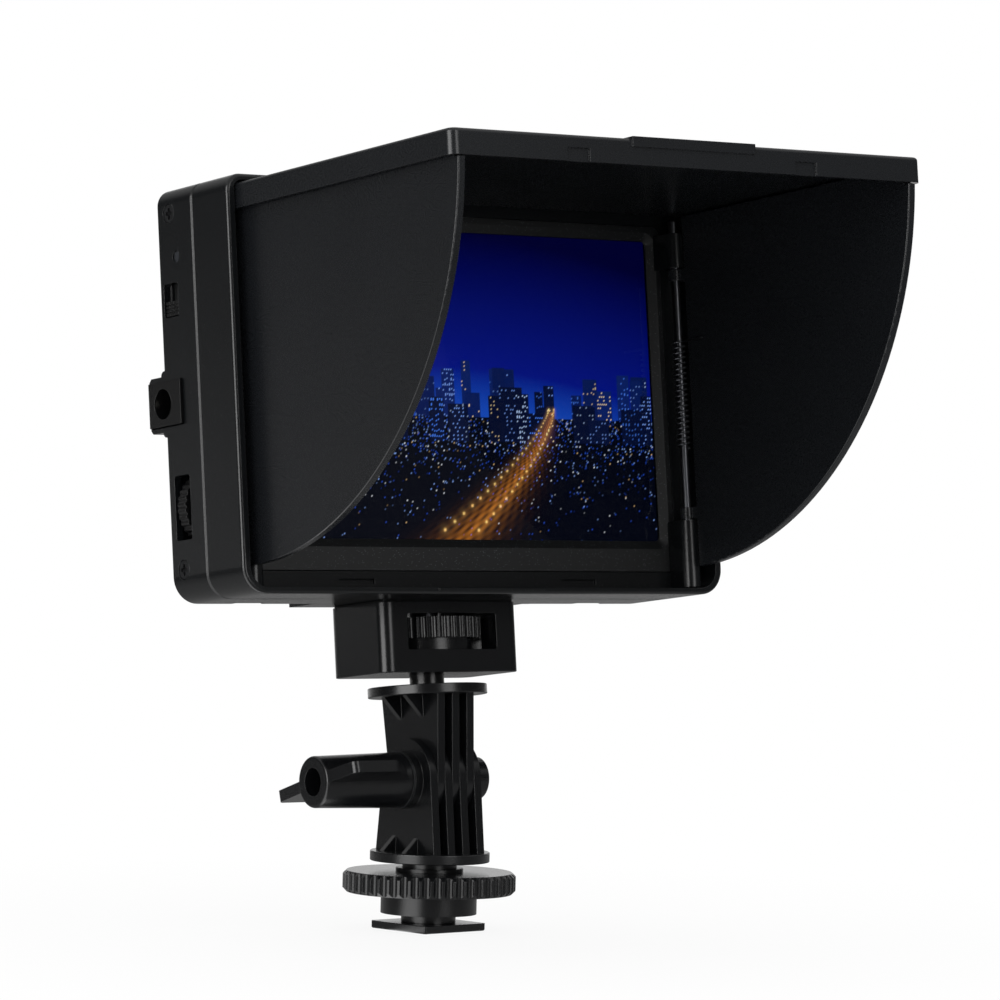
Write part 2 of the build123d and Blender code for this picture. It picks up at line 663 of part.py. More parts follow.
def battery_seat():
    """Shallow seat in the back of the housing that the battery plate drops into."""
    slab(
        (-PLATE_WIDTH / 2 - SET_IN, PLATE_WIDTH / 2 + SET_IN), (plate_front, bulge_back + 1),
        (PLATE_BOTTOM - SET_IN, plate_top + SET_IN), Mode.SUBTRACT,
    )


def underside_slots():
    """Shallow opening slots at the seam and at the rear edge of the underside."""
    for side in (-1, 1):
        slab(
            sorted((side * SEAM_SLOT[0], side * SEAM_SLOT[1])),
            (SEAM_DEPTH, SEAM_DEPTH + SEAM_SLOT_WIDTH), (0, SLOT_DEPTH), Mode.SUBTRACT,
        )
        slab(
            sorted((side * REAR_SLOT[0], side * REAR_SLOT[1])),
            (BODY_DEPTH - REAR_SLOT_WIDTH, BODY_DEPTH), (0, SLOT_DEPTH), Mode.SUBTRACT,
        )


# ---- bezel, display and board ----------------------------------------------------
def bezel():
    """Grained plate round the screen, with a bevelled window."""
    with BuildPart() as plate:
        rounded_slab(bezel_width, BEZEL_BOTTOM, bezel_top, BEZEL_CORNER, (RECESS, bezel_back))
        rounded_slab(
            window_width, WINDOW_BOTTOM, window_top, WINDOW_CORNER, (RECESS, bezel_back),
            Mode.SUBTRACT,
        )
        front = plate.faces().sort_by(Axis.Y)[0]
        chamfer(front.inner_wires()[0].edges(), *WINDOW_BEVEL, reference=front)
    return plate.part


def display_window():
    """Clear cover glass behind the bezel."""
    with BuildPart() as glass:
        slab((-glass_half, glass_half), (bezel_back, glass_back), (glass_bottom, glass_top))
    return glass.part


def lcd_panel():
    """Display panel, face to face with the cover glass."""
    with BuildPart() as panel:
        slab((-glass_half, glass_half), (glass_back, panel_back), (glass_bottom, glass_top))
    return panel.part


def backlight():
    """Light guide behind the display panel."""
    with BuildPart() as guide:
        slab((-glass_half, glass_half), (panel_back, backlight_back), (glass_bottom, glass_top))
    return guide.part


def panel_tray():
    """Pressed steel tray that holds the panel against the floor of the recess."""
    outer = SET_IN + TRAY_WALL
    with BuildPart() as tray:
        slab(
            (-glass_half - outer, glass_half + outer), (floor_back, backlight_back + TRAY_BACK),
            (glass_bottom - outer, glass_top + outer),
        )
        slab(
            (-glass_half - SET_IN, glass_half + SET_IN), (floor_back, backlight_back),
            (glass_bottom - SET_IN, glass_top + SET_IN), Mode.SUBTRACT,
        )
    return tray.part


def main_board():
    """Circuit board on four posts of the rear shell."""
    with BuildPart() as board:
        slab((-board_half, board_half), (board_front, board_back), (BOARD_BOTTOM, board_top))
        for x in (-post_x, post_x):
            for z in post_heights:
                rod_along(
                    (0, 1, 0), (x, board_front, z), BOARD_THICK, BOARD_SCREW + 2 * SLIDING,
                    Mode.SUBTRACT,
                )
    return board.part


def board_chips():
    """Chips, coil and connectors on the back of the board, as separate solids."""
    with BuildPart() as group:
        for across, up, width, height, thick in (
            MAIN_CHIP, MEMORY_CHIP, DRIVER_CHIP, COIL, PANEL_PLUG, KEY_PLUG,
        ):
            x = across * board_half
            z = BOARD_BOTTOM + up * (board_top - BOARD_BOTTOM)
            slab(
                (x - width / 2, x + width / 2), (board_back, board_back + thick),
                (z - height / 2, z + height / 2),
            )
    return group.part


def board_screws():
    """Four screws that hold the board to its posts."""
    head, head_thick = BOARD_SCREW_HEAD
    with BuildPart() as screws:
        for x in (-post_x, post_x):
            for z in post_heights:
                rod_along((0, 1, 0), (x, board_front - head_thick, z), head_thick, head)
                rod_along(
                    (0, 1, 0), (x, board_front, z), BOARD_THICK + BOARD_SCREW_REACH,
                    BOARD_SCREW - 2 * RUNNING,
                )
    return screws.part


# ---- left side controls ----------------------------------------------------------
def status_led():
    """Power lamp: a round lens on a square base that stands on the board."""
    y = LED_PLACE[0]
    front = -inner_half + END_GAP
    with BuildPart() as led:
        slab(
            (front, front + LED_BASE), (board_back, y + LED_BASE / 2),
            (led_z - LED_BASE / 2, led_z + LED_BASE / 2),
        )
        rod_along((-1, 0, 0), (front, y, led_z), SHELL_WALL + END_GAP - LED_SUNK, LED_DIA)
    return led.part


def power_slider():
    """Slider of the power switch, at rest in the lower half of its slot, with a grid of grooves."""
    y = SWITCH_PLACE[0]
    z = switch_z - SWITCH_TRAVEL / 2
    wide, high = SWITCH_KNOB
    face = -half_width + SLIDING
    inside = -inner_half + SWITCH_SKIN
    with BuildPart() as slider:
        slab((face, inside), (y - wide / 2, y + wide / 2), (z - high / 2, z + high / 2))
        for i in range(1, SWITCH_RIBS[1]):
            low = z - high / 2 + i * high / SWITCH_RIBS[1] - SWITCH_GROOVE / 2
            slab(
                (face, face + SWITCH_GROOVE), (y - wide / 2, y + wide / 2),
                (low, low + SWITCH_GROOVE), Mode.SUBTRACT,
            )
        for i in range(1, SWITCH_RIBS[0]):
            near = y - wide / 2 + i * wide / SWITCH_RIBS[0] - SWITCH_GROOVE / 2
            slab(
                (face, face + SWITCH_GROOVE), (near, near + SWITCH_GROOVE),
                (z - high / 2, z + high / 2), Mode.SUBTRACT,
            )
        stem = SWITCH_STEM / 2
        slab((inside, inside + SWITCH_REACH), (y - stem, y + stem), (z - stem, z + stem))
    return slider.part


def power_switch():
    """Body of the power switch, on the board, with the slot its slider runs in."""
    y = SWITCH_PLACE[0]
    reach = (SWITCH_SLOT[1] + SWITCH_STEM) / 2
    slot_y = SWITCH_STEM / 2 + SLIDING
    slot_z = (SWITCH_TRAVEL + SWITCH_STEM) / 2 + SLIDING
    inside = -inner_half + SWITCH_SKIN
    with BuildPart() as switch:
        slab(
            (inside + RUNNING, inside + SWITCH_BODY), (board_back, rear_inside - SET_IN),
            (switch_z - reach, switch_z + reach),
        )
        slab(
            (inside, inside + SWITCH_REACH + END_GAP), (y - slot_y, y + slot_y),
            (switch_z - slot_z, switch_z + slot_z), Mode.SUBTRACT,
        )
    return switch.part


def dc_jack():
    """Power jack: a square-faced block with a round bore, standing on the board."""
    y, z = JACK_PLACE
    with BuildPart() as jack:
        slab(
            (jack_start, jack_start + JACK_LENGTH), (y - JACK_SIZE[0] / 2, y + JACK_SIZE[0] / 2),
            (z - JACK_SIZE[1] / 2, z + JACK_SIZE[1] / 2),
        )
        slab(
            (-inner_half + END_GAP, jack_start + JACK_LENGTH), (board_back, y),
            (z - JACK_FOOT / 2, z + JACK_FOOT / 2),
        )
        rod_along(
            (1, 0, 0), (jack_start, y + JACK_BORE_SHIFT, z), JACK_BORE_DEPTH, JACK_BORE, Mode.SUBTRACT
        )
    return jack.part


def dc_pin():
    """Centre pin of the power jack."""
    y, z = JACK_PLACE
    start = (jack_start + JACK_PIN_SUNK, y + JACK_BORE_SHIFT, z)
    with BuildPart() as pin:
        rod_along((1, 0, 0), start, JACK_BORE_DEPTH - JACK_PIN_SUNK, JACK_PIN)
        fillet(pin.faces().sort_by(Axis.X)[0].edges(), JACK_PIN / 4)
    return pin.part


def dial_wheel():
    """Toothed thumb dial that stands a little out of its slot."""
    y, z = DIAL_PLACE
    plane = Plane(origin=(dial_x, y - DIAL_THICK / 2, z), x_dir=(1, 0, 0), z_dir=(0, 1, 0))
    with BuildPart() as dial:
        fluted(plane, DIAL_RADIUS, DIAL_TEETH, DIAL_FLUTE, DIAL_THICK)
        with BuildSketch(plane):
            Circle(DIAL_SHAFT / 2 + RUNNING)
        extrude(amount=DIAL_THICK, mode=Mode.SUBTRACT)
    return dial.part


def dial_body():
    """Base and shaft of the dial's potentiometer, on the board."""
    y, z = DIAL_PLACE
    base = y - DIAL_THICK / 2 - DIAL_GAP
    cap = y + DIAL_THICK / 2 + DIAL_GAP
    half = DIAL_BASE / 2
    with BuildPart() as body:
        slab((dial_x - half, dial_x + half), (board_back, base), (z - half, z + half))
        rod_along((0, 1, 0), (dial_x, board_back, z), cap - board_back, DIAL_SHAFT)
        rod_along((0, 1, 0), (dial_x, cap, z), DIAL_CAP, DIAL_CAP_DIA)
    return body.part


# ---- right side sockets and top keys ---------------------------------------------
def hdmi_socket():
    """Video socket: a metal shell with a tongue inside, open to the right."""
    y, z = HDMI_PLACE
    front = half_width - SOCKET_SUNK
    back = front - HDMI_LENGTH
    tongue, tongue_width = HDMI_TONGUE
    with BuildPart() as socket:
        slab(
            (back, front), (y - HDMI_SIZE[0] / 2, y + HDMI_SIZE[0] / 2),
            (z - HDMI_SIZE[1] / 2, z + HDMI_SIZE[1] / 2),
        )
        slab(
            (back + tongue, front), (y - HDMI_MOUTH[0] / 2, y + HDMI_MOUTH[0] / 2),
            (z - HDMI_MOUTH[1] / 2, z + HDMI_MOUTH[1] / 2), Mode.SUBTRACT,
        )
        slab(
            (back, front - SHELL_WALL), (y + tongue / 2, y + 3 * tongue / 2),
            (z - tongue_width / 2, z + tongue_width / 2),
        )
        slab(
            (back, inner_half - END_GAP), (board_back, y - HDMI_SIZE[0] / 2),
            (z - HDMI_SIZE[1] / 2, z + HDMI_SIZE[1] / 2),
        )
    return socket.part


def av_socket():
    """Sound and picture socket with a 3.5 mm bore, open to the right."""
    y, z = AV_PLACE
    front = inner_half - END_GAP
    with BuildPart() as socket:
        slab(
            (front - AV_LENGTH, front), (board_back, y + AV_SIZE / 2),
            (z - AV_SIZE / 2, z + AV_SIZE / 2),
        )
        rod_along((1, 0, 0), (front, y, z), half_width - front, AV_SIZE)
        rod_along((-1, 0, 0), (half_width, y, z), AV_LENGTH, AV_BORE, Mode.SUBTRACT)
    return socket.part


def key_cap(x):
    """One key on the top of the body, with a collar that keeps it in."""
    top = BODY_HEIGHT + KEY_PROUD
    collar_top = top_inside - RUNNING
    half = (KEY_SIZE[0] / 2, KEY_SIZE[1] / 2)
    with BuildPart() as key:
        slab((x - half[0], x + half[0]), (KEY_Y - half[1], KEY_Y + half[1]), (top_inside - KEY_COLLAR, top))
        fillet(key.edges().filter_by(Axis.Z), KEY_CORNER)
        fillet(key.faces().sort_by(Axis.Z)[-1].edges(), KEY_ROUND)
        slab(
            (x - half[0] - KEY_COLLAR, x + half[0] + KEY_COLLAR),
            (KEY_Y - half[1] - KEY_COLLAR, KEY_Y + half[1] + KEY_COLLAR),
            (collar_top - KEY_COLLAR, collar_top),
        )
        slab(
            (x - KEY_STEM / 2, x + KEY_STEM / 2), (KEY_Y - KEY_STEM / 2, KEY_Y + KEY_STEM / 2),
            (top_inside - KEY_HEIGHT, collar_top),
        )
    return key.part


def key_switches():
    """Tactile switches on a strip under the keys."""
    top = top_inside - KEY_HEIGHT - KEY_TRAVEL - 2 * RUNNING
    span = (len(KEY_NAMES) - 1) * KEY_PITCH / 2 + KEY_SIZE[0] / 2
    half = KEY_SWITCH / 2
    with BuildPart() as strip:
        slab((-span, span), (board_front, KEY_Y + KEY_SWITCH / 2), (board_top, board_top + KEY_STRIP))
        for x in key_xs():
            slab((x - half, x + half), (KEY_Y - half, KEY_Y + half), (board_top + KEY_STRIP, top))
    return strip.part


# ---- battery plate ---------------------------------------------------------------
def battery_plate():
    """Plate that a camera battery slides on, with rail grooves and contact slots."""
    x_half = PLATE_WIDTH / 2
    release_half = RELEASE_SIZE[0] / 2 + SLIDING
    release_top = plate_top - RELEASE_DROP
    with BuildPart() as plate:
        slab((-x_half, x_half), (plate_front, plate_back), (PLATE_BOTTOM, plate_top))
        fillet(plate.faces().sort_by(Axis.Y)[-1].edges().filter_by(Axis.Z), PLATE_CORNER)
        for side in (-1, 1):
            slab(
                sorted((side * (x_half - RAIL_GROOVE[0]), side * (x_half + 1))),
                (bulge_back + RAIL_LIFT, bulge_back + RAIL_LIFT + RAIL_GROOVE[1]),
                (PLATE_BOTTOM + RAIL_STOP, plate_top), Mode.SUBTRACT,
            )
        for i in (-1, 0, 1):
            slab(
                (i * CONTACT_PITCH - CONTACT_SIZE[0], i * CONTACT_PITCH + CONTACT_SIZE[0]),
                (plate_back - CONTACT_SLOT, plate_back),
                (contact_bottom - CONTACT_SIZE[1], contact_bottom + CONTACT_SIZE[2] + CONTACT_SIZE[1]),
                Mode.SUBTRACT,
            )
        slab(
            (-release_half, release_half), (plate_back - RELEASE_SUNK, plate_back),
            (release_top - RELEASE_SIZE[1] - SLIDING, release_top + RELEASE_TRAVEL + SLIDING),
            Mode.SUBTRACT,
        )
    return plate.part


def battery_contacts():
    """Three sprung contact blades in the plate."""
    slot_floor = plate_back - CONTACT_SLOT
    with BuildPart() as blades:
        for i in (-1, 0, 1):
            slab(
                (i * CONTACT_PITCH - CONTACT_SIZE[0] / 2, i * CONTACT_PITCH + CONTACT_SIZE[0] / 2),
                (slot_floor, slot_floor + CONTACT_SIZE[1]),
                (contact_bottom, contact_bottom + CONTACT_SIZE[2]),
            )
    return blades.part


def release_button():
    """Battery release slider at the top of the plate."""
    face = plate_back + RELEASE_PROUD
    top = plate_top - RELEASE_DROP
    ribs, pitch, rib = RELEASE_RIBS
    half = RELEASE_SIZE[0] / 2
    with BuildPart() as button:
        slab((-half, half), (plate_back - RELEASE_SUNK, face), (top - RELEASE_SIZE[1], top))
        fillet(button.faces().sort_by(Axis.Y)[-1].edges(), rib)
        for i in range(ribs):
            middle = top - RELEASE_SIZE[1] / 2 + (i - (ribs - 1) / 2) * pitch
            slab(
                (-half + 2 * rib, half - 2 * rib), (face - rib, face),
                (middle - rib / 2, middle + rib / 2), Mode.SUBTRACT,
            )
    return button.part


def case_screws():
    """Four cross-head screws through the rear shell into the front shell's lugs."""
    with BuildPart() as screws:
        for side in (-1, 1):
            for height in case_screw_heights:
                case_screw(side, height)
    return screws.part


def case_screw(side, height):
    """One case screw, its head nearly level with the body's side."""
    start = (side * (half_width - CASE_SCREW_HEAD_THICK), case_screw_y, height)
    rod_along((side, 0, 0), start, CASE_SCREW_HEAD_THICK - CASE_SCREW_SUNK, CASE_SCREW_HEAD)
    rod_along((-side, 0, 0), start, CASE_SCREW_LENGTH, CASE_SCREW - RUNNING)
    head = half_width - CASE_SCREW_SUNK
    face = sorted((side * (head - CROSS_DEPTH), side * head))
    long, wide = (size / 2 for size in CROSS_SLOT)
    for across, up in ((long, wide), (wide, long)):
        slab(
            face, (case_screw_y - across, case_screw_y + across), (height - up, height + up),
            Mode.SUBTRACT,
        )


# ---- sun hood --------------------------------------------------------------------
def lid():
    """Hood lid: a shallow tray, open below, with ears for its hinge pins."""
    length = LID_REACH + LID_TAIL
    middle = (LID_TAIL - LID_REACH) / 2
    with BuildPart() as tray:
        with BuildSketch(Plane.XY.offset(skirt_bottom)):
            with Locations((0, middle)):
                Rectangle(2 * lid_half, length)
        extrude(amount=LID_SKIRT)
        fillet(tray.edges().filter_by(Axis.Z).group_by(Axis.Y)[0], LID_CORNER)
        fillet(tray.faces().sort_by(Axis.Z)[-1].edges().sort_by(Axis.Y)[:-1], LID_ROUND)
        with BuildSketch(Plane.XY.offset(skirt_bottom)) as hollow:
            with Locations((0, middle + LID_WALL)):
                Rectangle(2 * (lid_half - LID_WALL), length)
            fillet(hollow.vertices().group_by(Axis.Y)[0], LID_CORNER - LID_WALL)
        extrude(amount=LID_SKIRT - LID_PLATE, mode=Mode.SUBTRACT)
        slab((-half_width, half_width), (LID_PIN_Y, LID_TAIL + 1), (0, lid_under), Mode.SUBTRACT)
        for side in (-1, 1):
            lid_ear(side)
            lid_notch(side)
        slab(
            (-LEDGE_WIDTH / 2, LEDGE_WIDTH / 2), (-LID_REACH - LEDGE_PROUD, LEDGE_DEPTH - LID_REACH),
            (lid_top - LEDGE_HEIGHT, lid_top + LEDGE_PROUD),
        )
    return tray.part


def lid_ear(side):
    """Round end of one side skirt, bored for the hinge pin."""
    low_x = min(side * (lid_half - LID_WALL), side * lid_half)
    with BuildSketch(facing_side(low_x)) as ear:
        with Locations((LID_PIN_Y, lid_pin_z)):
            Circle(LID_EAR)
    extrude(ear.sketch, amount=LID_WALL)
    rod_along(
        (1, 0, 0), (low_x, LID_PIN_Y, lid_pin_z), LID_WALL, LID_PIN + 2 * RUNNING, Mode.SUBTRACT
    )


def lid_notch(side):
    """Shallow snap notch in the front skirt."""
    x = side * LATCH_X
    slab(
        (x - NOTCH_SIZE[0] / 2, x + NOTCH_SIZE[0] / 2), (-LID_REACH, -LID_REACH + NOTCH_DEPTH),
        (skirt_bottom, skirt_bottom + NOTCH_SIZE[1]), Mode.SUBTRACT,
    )


def lid_pins():
    """Two short pins that the lid turns on, held in the rim of the front shell."""
    inner = lid_half - LID_WALL - END_GAP
    with BuildPart() as pins:
        for side in (-1, 1):
            rod_along((side, 0, 0), (side * inner, LID_PIN_Y, lid_pin_z), pin_end - inner, LID_PIN)
    return pins.part


def wing_face(rod_y):
    """Face of a wing in Y and Z: straight top and hinge edge, one round edge."""
    hinge_y = rod_y - WING_SETBACK
    foot_z = wing_centre_z - sqrt(WING_RADIUS**2 - (WING_CENTRE_Y - hinge_y) ** 2)
    top_y = WING_CENTRE_Y - sqrt(WING_RADIUS**2 - (wing_centre_z - wing_top) ** 2)
    slant = WING_RADIUS / sqrt(2)
    with BuildLine() as outline:
        ThreePointArc(
            (top_y, wing_top), (WING_CENTRE_Y - slant, wing_centre_z - slant), (hinge_y, foot_z)
        )
        Polyline((hinge_y, foot_z), (hinge_y, wing_top), (top_y, wing_top))
    make_face(outline.edges())


def collar_heights():
    """Bottom of each collar, against the lower and the upper rod holder."""
    return (LOWER_HOLDER_TOP + END_GAP, upper_holder[0] - END_GAP - COLLAR_HEIGHT)


def wing(side, rod_y):
    """Side wing of the hood, with two collars that reach from it to its hinge rod."""
    x = side * rod_x
    low_x, high_x = sorted((side * wing_inner, side * wing_outer))
    with BuildPart() as panel:
        with BuildSketch(facing_side(low_x)):
            wing_face(rod_y)
        extrude(amount=WING_THICK)
        slab(
            (low_x, high_x), (-LID_REACH - LID_TAIL, wing_tip), (skirt_bottom - END_GAP, lid_top),
            Mode.SUBTRACT,
        )
        fillet(panel.edges().filter_by(GeomType.CIRCLE), WING_ROUND)
        for low in collar_heights():
            slab((low_x, high_x), (rod_y - WING_SETBACK - 1, rod_y), (low, low + COLLAR_HEIGHT))
            rod_along((0, 0, 1), (x, rod_y, low), COLLAR_HEIGHT, COLLAR_DIA)
            rod_along(
                (0, 0, 1), (x, rod_y, low), COLLAR_HEIGHT, ROD_DIA + 2 * RUNNING, Mode.SUBTRACT
            )
    return panel.part


def rod_holders(side, rod_y):
    """Lower and upper holder of one hinge rod, standing on the bezel."""
    x = side * rod_x
    with BuildPart() as holders:
        for low, high in ((RIM + HOLDER_LIFT, LOWER_HOLDER_TOP), upper_holder):
            rod_along((0, 0, 1), (x, rod_y, low), high - low, 2 * HOLDER_RADIUS)
            slab((x - HOLDER_RADIUS, x + HOLDER_RADIUS), (rod_y, RECESS), (low, high))
        slab(
            (x - HOLDER_RADIUS, x + HOLDER_RADIUS), (RECESS, BODY_DEPTH), (0, BODY_HEIGHT),
            Mode.SUBTRACT,
        )
        rod_along((0, 0, 1), (x, rod_y, rod_bottom), rod_top - rod_bottom, ROD_DIA, Mode.SUBTRACT)
    return holders.part


def hinge_rod(side, rod_y):
    """Steel rod that one wing turns on."""
    with BuildPart() as pin:
        rod_along((0, 0, 1), (side * rod_x, rod_y, rod_bottom), rod_top - rod_bottom, ROD_DIA)
        fillet(pin.faces().sort_by(Axis.Z)[-1].edges(), ROD_DIA / 4)
    return pin.part


def hinge_spring(side, rod_y):
    """Torsion spring on the rod: a sleeve with one ridge for each coil, and its leg."""
    pitch = SPRING_LENGTH / SPRING_COILS
    core = SPRING_DIA / 2 - SPRING_WIRE / 2
    x = side * rod_x
    with BuildPart() as spring:
        with BuildSketch(Plane(origin=(x, rod_y, spring_bottom), x_dir=(1, 0, 0), z_dir=(0, -1, 0))):
            with Locations(*[(core, (i + 0.5) * pitch) for i in range(SPRING_COILS)]):
                Circle(SPRING_WIRE / 2)
            with Locations((core, SPRING_LENGTH / 2)):
                Rectangle(SPRING_WIRE / 2, SPRING_LENGTH - pitch / 2)
        revolve(axis=Axis((x, rod_y, 0), (0, 0, 1)))
        leg_x = side * (wing_inner - SPRING_WIRE / 2)
        leg_z = SPRING_CENTRE + SPRING_LENGTH / 2 - pitch
        rod_along((0, -1, 0), (leg_x, rod_y - core, leg_z), SPRING_LEG, SPRING_WIRE)
    return spring.part


# ---- mount block -----------------------------------------------------------------
def block_slab(z, height, inset, mode=Mode.ADD):
    """Slab in the outline of the mount block, a step in from it, from one height up."""
    with BuildSketch(Plane.XY.offset(z)) as outline:
        with Locations((0, AXIS_Y)):
            RectangleRounded(BLOCK[0] - 2 * inset, BLOCK[1] - 2 * inset, BLOCK_ROUND - inset)
    extrude(outline.sketch, amount=height, mode=mode)


def cover_screw_places():
    """X and Y of the four screws that hold the cover."""
    return [
        (side * cover_screw_x, AXIS_Y + step)
        for side in (-1, 1) for step in (-COVER_SCREW_Y, COVER_SCREW_Y)
    ]


def mount_block():
    """Block under the body, hollow for the thumb wheel, with a seat for its cover."""
    with BuildPart() as block:
        block_slab(block_bottom, BLOCK[2], 0)
        with BuildSketch(Plane.XZ.offset(-AXIS_Y - BLOCK[1] / 2)) as window:
            with Locations((0, block_floor + WINDOW[1] / 2)):
                RectangleRounded(*WINDOW, WINDOW_ROUND)
        extrude(window.sketch, amount=BLOCK[1], mode=Mode.SUBTRACT)
        fillet(block.faces().sort_by(Axis.Z)[0].edges(), BLOCK_EDGE)
        rod_along(
            (0, 0, 1), (0, AXIS_Y, block_floor), WINDOW[1], THUMB_DIA + 2 * THUMB_CLEAR, Mode.SUBTRACT
        )
        block_slab(block_top - BLOCK_COVER, BLOCK_COVER, BLOCK_WALL, Mode.SUBTRACT)
        rod_along(
            (0, 0, 1), (0, AXIS_Y, block_bottom + BLOCK_SEAT), BLOCK[2], SWIVEL_WASHER[0] + 1.0,
            Mode.SUBTRACT,
        )
        rod_along(
            (0, 0, 1), (0, AXIS_Y, block_bottom), BLOCK_SEAT + 1.0, NECK_DIA + 2 * RUNNING,
            Mode.SUBTRACT,
        )
        for place in cover_screw_places():
            rod_along(
                (0, 0, -1), (*place, block_top - BLOCK_COVER), COVER_SCREW_LENGTH, COVER_SCREW,
                Mode.SUBTRACT,
            )
    return block.part


def block_cover():
    """Plate let into the top of the block, bored for the stud."""
    with BuildPart() as cover:
        block_slab(block_top - BLOCK_COVER, BLOCK_COVER, BLOCK_WALL + RUNNING)
        rod_along(
            (0, 0, 1), (0, AXIS_Y, block_top - BLOCK_COVER), BLOCK_COVER, STUD_DIA + 2 * END_GAP,
            Mode.SUBTRACT,
        )
        for place in cover_screw_places():
            top = (*place, block_top)
            rod_along((0, 0, -1), top, BLOCK_COVER, COVER_SCREW + SLIDING, Mode.SUBTRACT)
            rod_along(
                (0, 0, -1), top, COVER_SCREW_SUNK, COVER_SCREW_HEAD[0] + 2 * SET_IN, Mode.SUBTRACT
            )
    return cover.part


def cover_screws():
    """Four screws that hold the cover to the block."""
    with BuildPart() as screws:
        for place in cover_screw_places():
            seat = (*place, block_top - COVER_SCREW_SUNK)
            rod_along((0, 0, 1), seat, COVER_SCREW_HEAD[1], COVER_SCREW_HEAD[0])
            rod_along((0, 0, -1), seat, COVER_SCREW_LENGTH, COVER_SCREW - RUNNING)
    return screws.part


def thumb_wheel():
    """Knurled wheel in the block that drives the camera stud."""
    plane = Plane(origin=(0, AXIS_Y, thumb_top - THUMB_THICK), z_dir=(0, 0, 1))
    sink, sink_height = THUMB_SINK
    with BuildPart() as wheel:
        fluted(plane, THUMB_DIA / 2, THUMB_TEETH, THUMB_FLUTE, THUMB_THICK)
        rod_along((0, 0, 1), (0, AXIS_Y, block_floor), thumb_top - block_floor - 1, THUMB_HUB)
        rod_along((0, 0, 1), (0, AXIS_Y, block_floor), sink_height, sink, Mode.SUBTRACT)
        rod_along(
            (0, 0, 1), (0, AXIS_Y, block_floor + sink_height), WINDOW[1], STUD_DIA, Mode.SUBTRACT
        )
    return wheel.part


def camera_stud():
    """Quarter-inch stud fixed in the thumb wheel, up into the body's thread."""
    low = block_floor + THUMB_SINK[1]
    with BuildPart() as stud:
        rod_along((0, 0, 1), (0, AXIS_Y, low), block_top + STUD_REACH - low, STUD_DIA)
        chamfer(stud.faces().sort_by(Axis.Z)[-1].edges(), THREAD_CHAMFER)
    return stud.part


def thread_bush():
    """Brass bush with the quarter-inch thread in the body's underside."""
    with BuildPart() as bush:
        rod_along((0, 0, 1), (0, AXIS_Y, 0), BUSH_LENGTH, BUSH_OUTER)
        rod_along((0, 0, 1), (0, AXIS_Y, 0), BUSH_LENGTH - 1, STUD_DIA + 2 * RUNNING, Mode.SUBTRACT)
    return bush.part


# ---- tilting head ----------------------------------------------------------------
def prong_profile(reach, root, up):
    """Side view of a prong: a round end about the axis, straight to its flange."""
    with BuildLine() as outline:
        Polyline(
            (-PRONG_END, 0), (-root, up * reach), (root, up * reach), (PRONG_END, 0), close=True
        )
    make_face(outline.edges())
    Circle(PRONG_END)


def prongs(xs, y, z, reach, root, up):
    """Row of prongs across X about the tilt axis, bored for the bolt."""
    for x in xs:
        plane = Plane(origin=(x - prong_thick / 2, y, z), x_dir=(0, 1, 0), z_dir=(1, 0, 0))
        with BuildSketch(plane) as profile:
            prong_profile(reach, root, up)
        extrude(profile.sketch, amount=prong_thick)
    rod_along(
        (1, 0, 0), (xs[0] - PRONG_PITCH, y, z), xs[-1] - xs[0] + 2 * PRONG_PITCH,
        TILT_BOLT + 2 * RUNNING, Mode.SUBTRACT,
    )


def gussets(face_x, y, z, up, reach, drop):
    """Two triangular ribs from the flange to the outer prong on each side."""
    root = face_x - prong_thick / 2
    slope = drop / reach
    for side in (-1, 1):
        for offset_y in (-GUSSET_Y, GUSSET_Y):
            plane = Plane(
                origin=(0, y + offset_y + GUSSET_THICK / 2, z), x_dir=(1, 0, 0), z_dir=(0, -1, 0)
            )
            with BuildSketch(plane) as rib:
                with BuildLine():
                    Polyline(
                        (side * root, 0), (side * (face_x + reach), 0),
                        (side * root, -up * slope * (face_x + reach - root)), close=True,
                    )
                make_face()
            extrude(rib.sketch, amount=GUSSET_THICK)


def upper_knuckle():
    """Upper half of the tilt joint: flange, three prongs and the swivel neck."""
    with BuildPart() as knuckle:
        rod_along((0, 0, 1), (0, AXIS_Y, upper_flange_bottom), FLANGE_THICK, FLANGE_DIA)
        fillet(knuckle.edges(), FLANGE_ROUND)
        prongs(upper_prongs, AXIS_Y, axis_drop, UPPER_REACH + FLANGE_ROUND, PRONG_ROOTS[0], 1)
        gussets(
            PRONG_PITCH + prong_thick / 2, AXIS_Y, upper_flange_bottom, 1, GUSSET_REACHES[0],
            GUSSET_DROPS[0],
        )
        rod_along((0, 0, 1), (0, AXIS_Y, upper_flange_top), washer_seat - upper_flange_top, NECK_DIA)
        rod_along(
            (0, 0, -1), (0, AXIS_Y, washer_seat), SWIVEL_SCREW_LENGTH, SWIVEL_SCREW, Mode.SUBTRACT
        )
    return knuckle.part


def swivel_washer():
    """Washer in the block that keeps the neck from dropping out."""
    washer_dia, thick = SWIVEL_WASHER
    with BuildPart() as washer:
        rod_along((0, 0, 1), (0, AXIS_Y, washer_seat), thick, washer_dia)
        rod_along(
            (0, 0, 1), (0, AXIS_Y, washer_seat), thick, SWIVEL_SCREW + 2 * RUNNING, Mode.SUBTRACT
        )
    return washer.part


def swivel_screw():
    """Screw down through the washer into the neck."""
    seat = washer_seat + SWIVEL_WASHER[1]
    head, head_thick = SWIVEL_SCREW_HEAD
    with BuildPart() as screw:
        rod_along((0, 0, 1), (0, AXIS_Y, seat), head_thick, head)
        rod_along((0, 0, -1), (0, AXIS_Y, seat), SWIVEL_SCREW_LENGTH, SWIVEL_SCREW - RUNNING)
    return screw.part


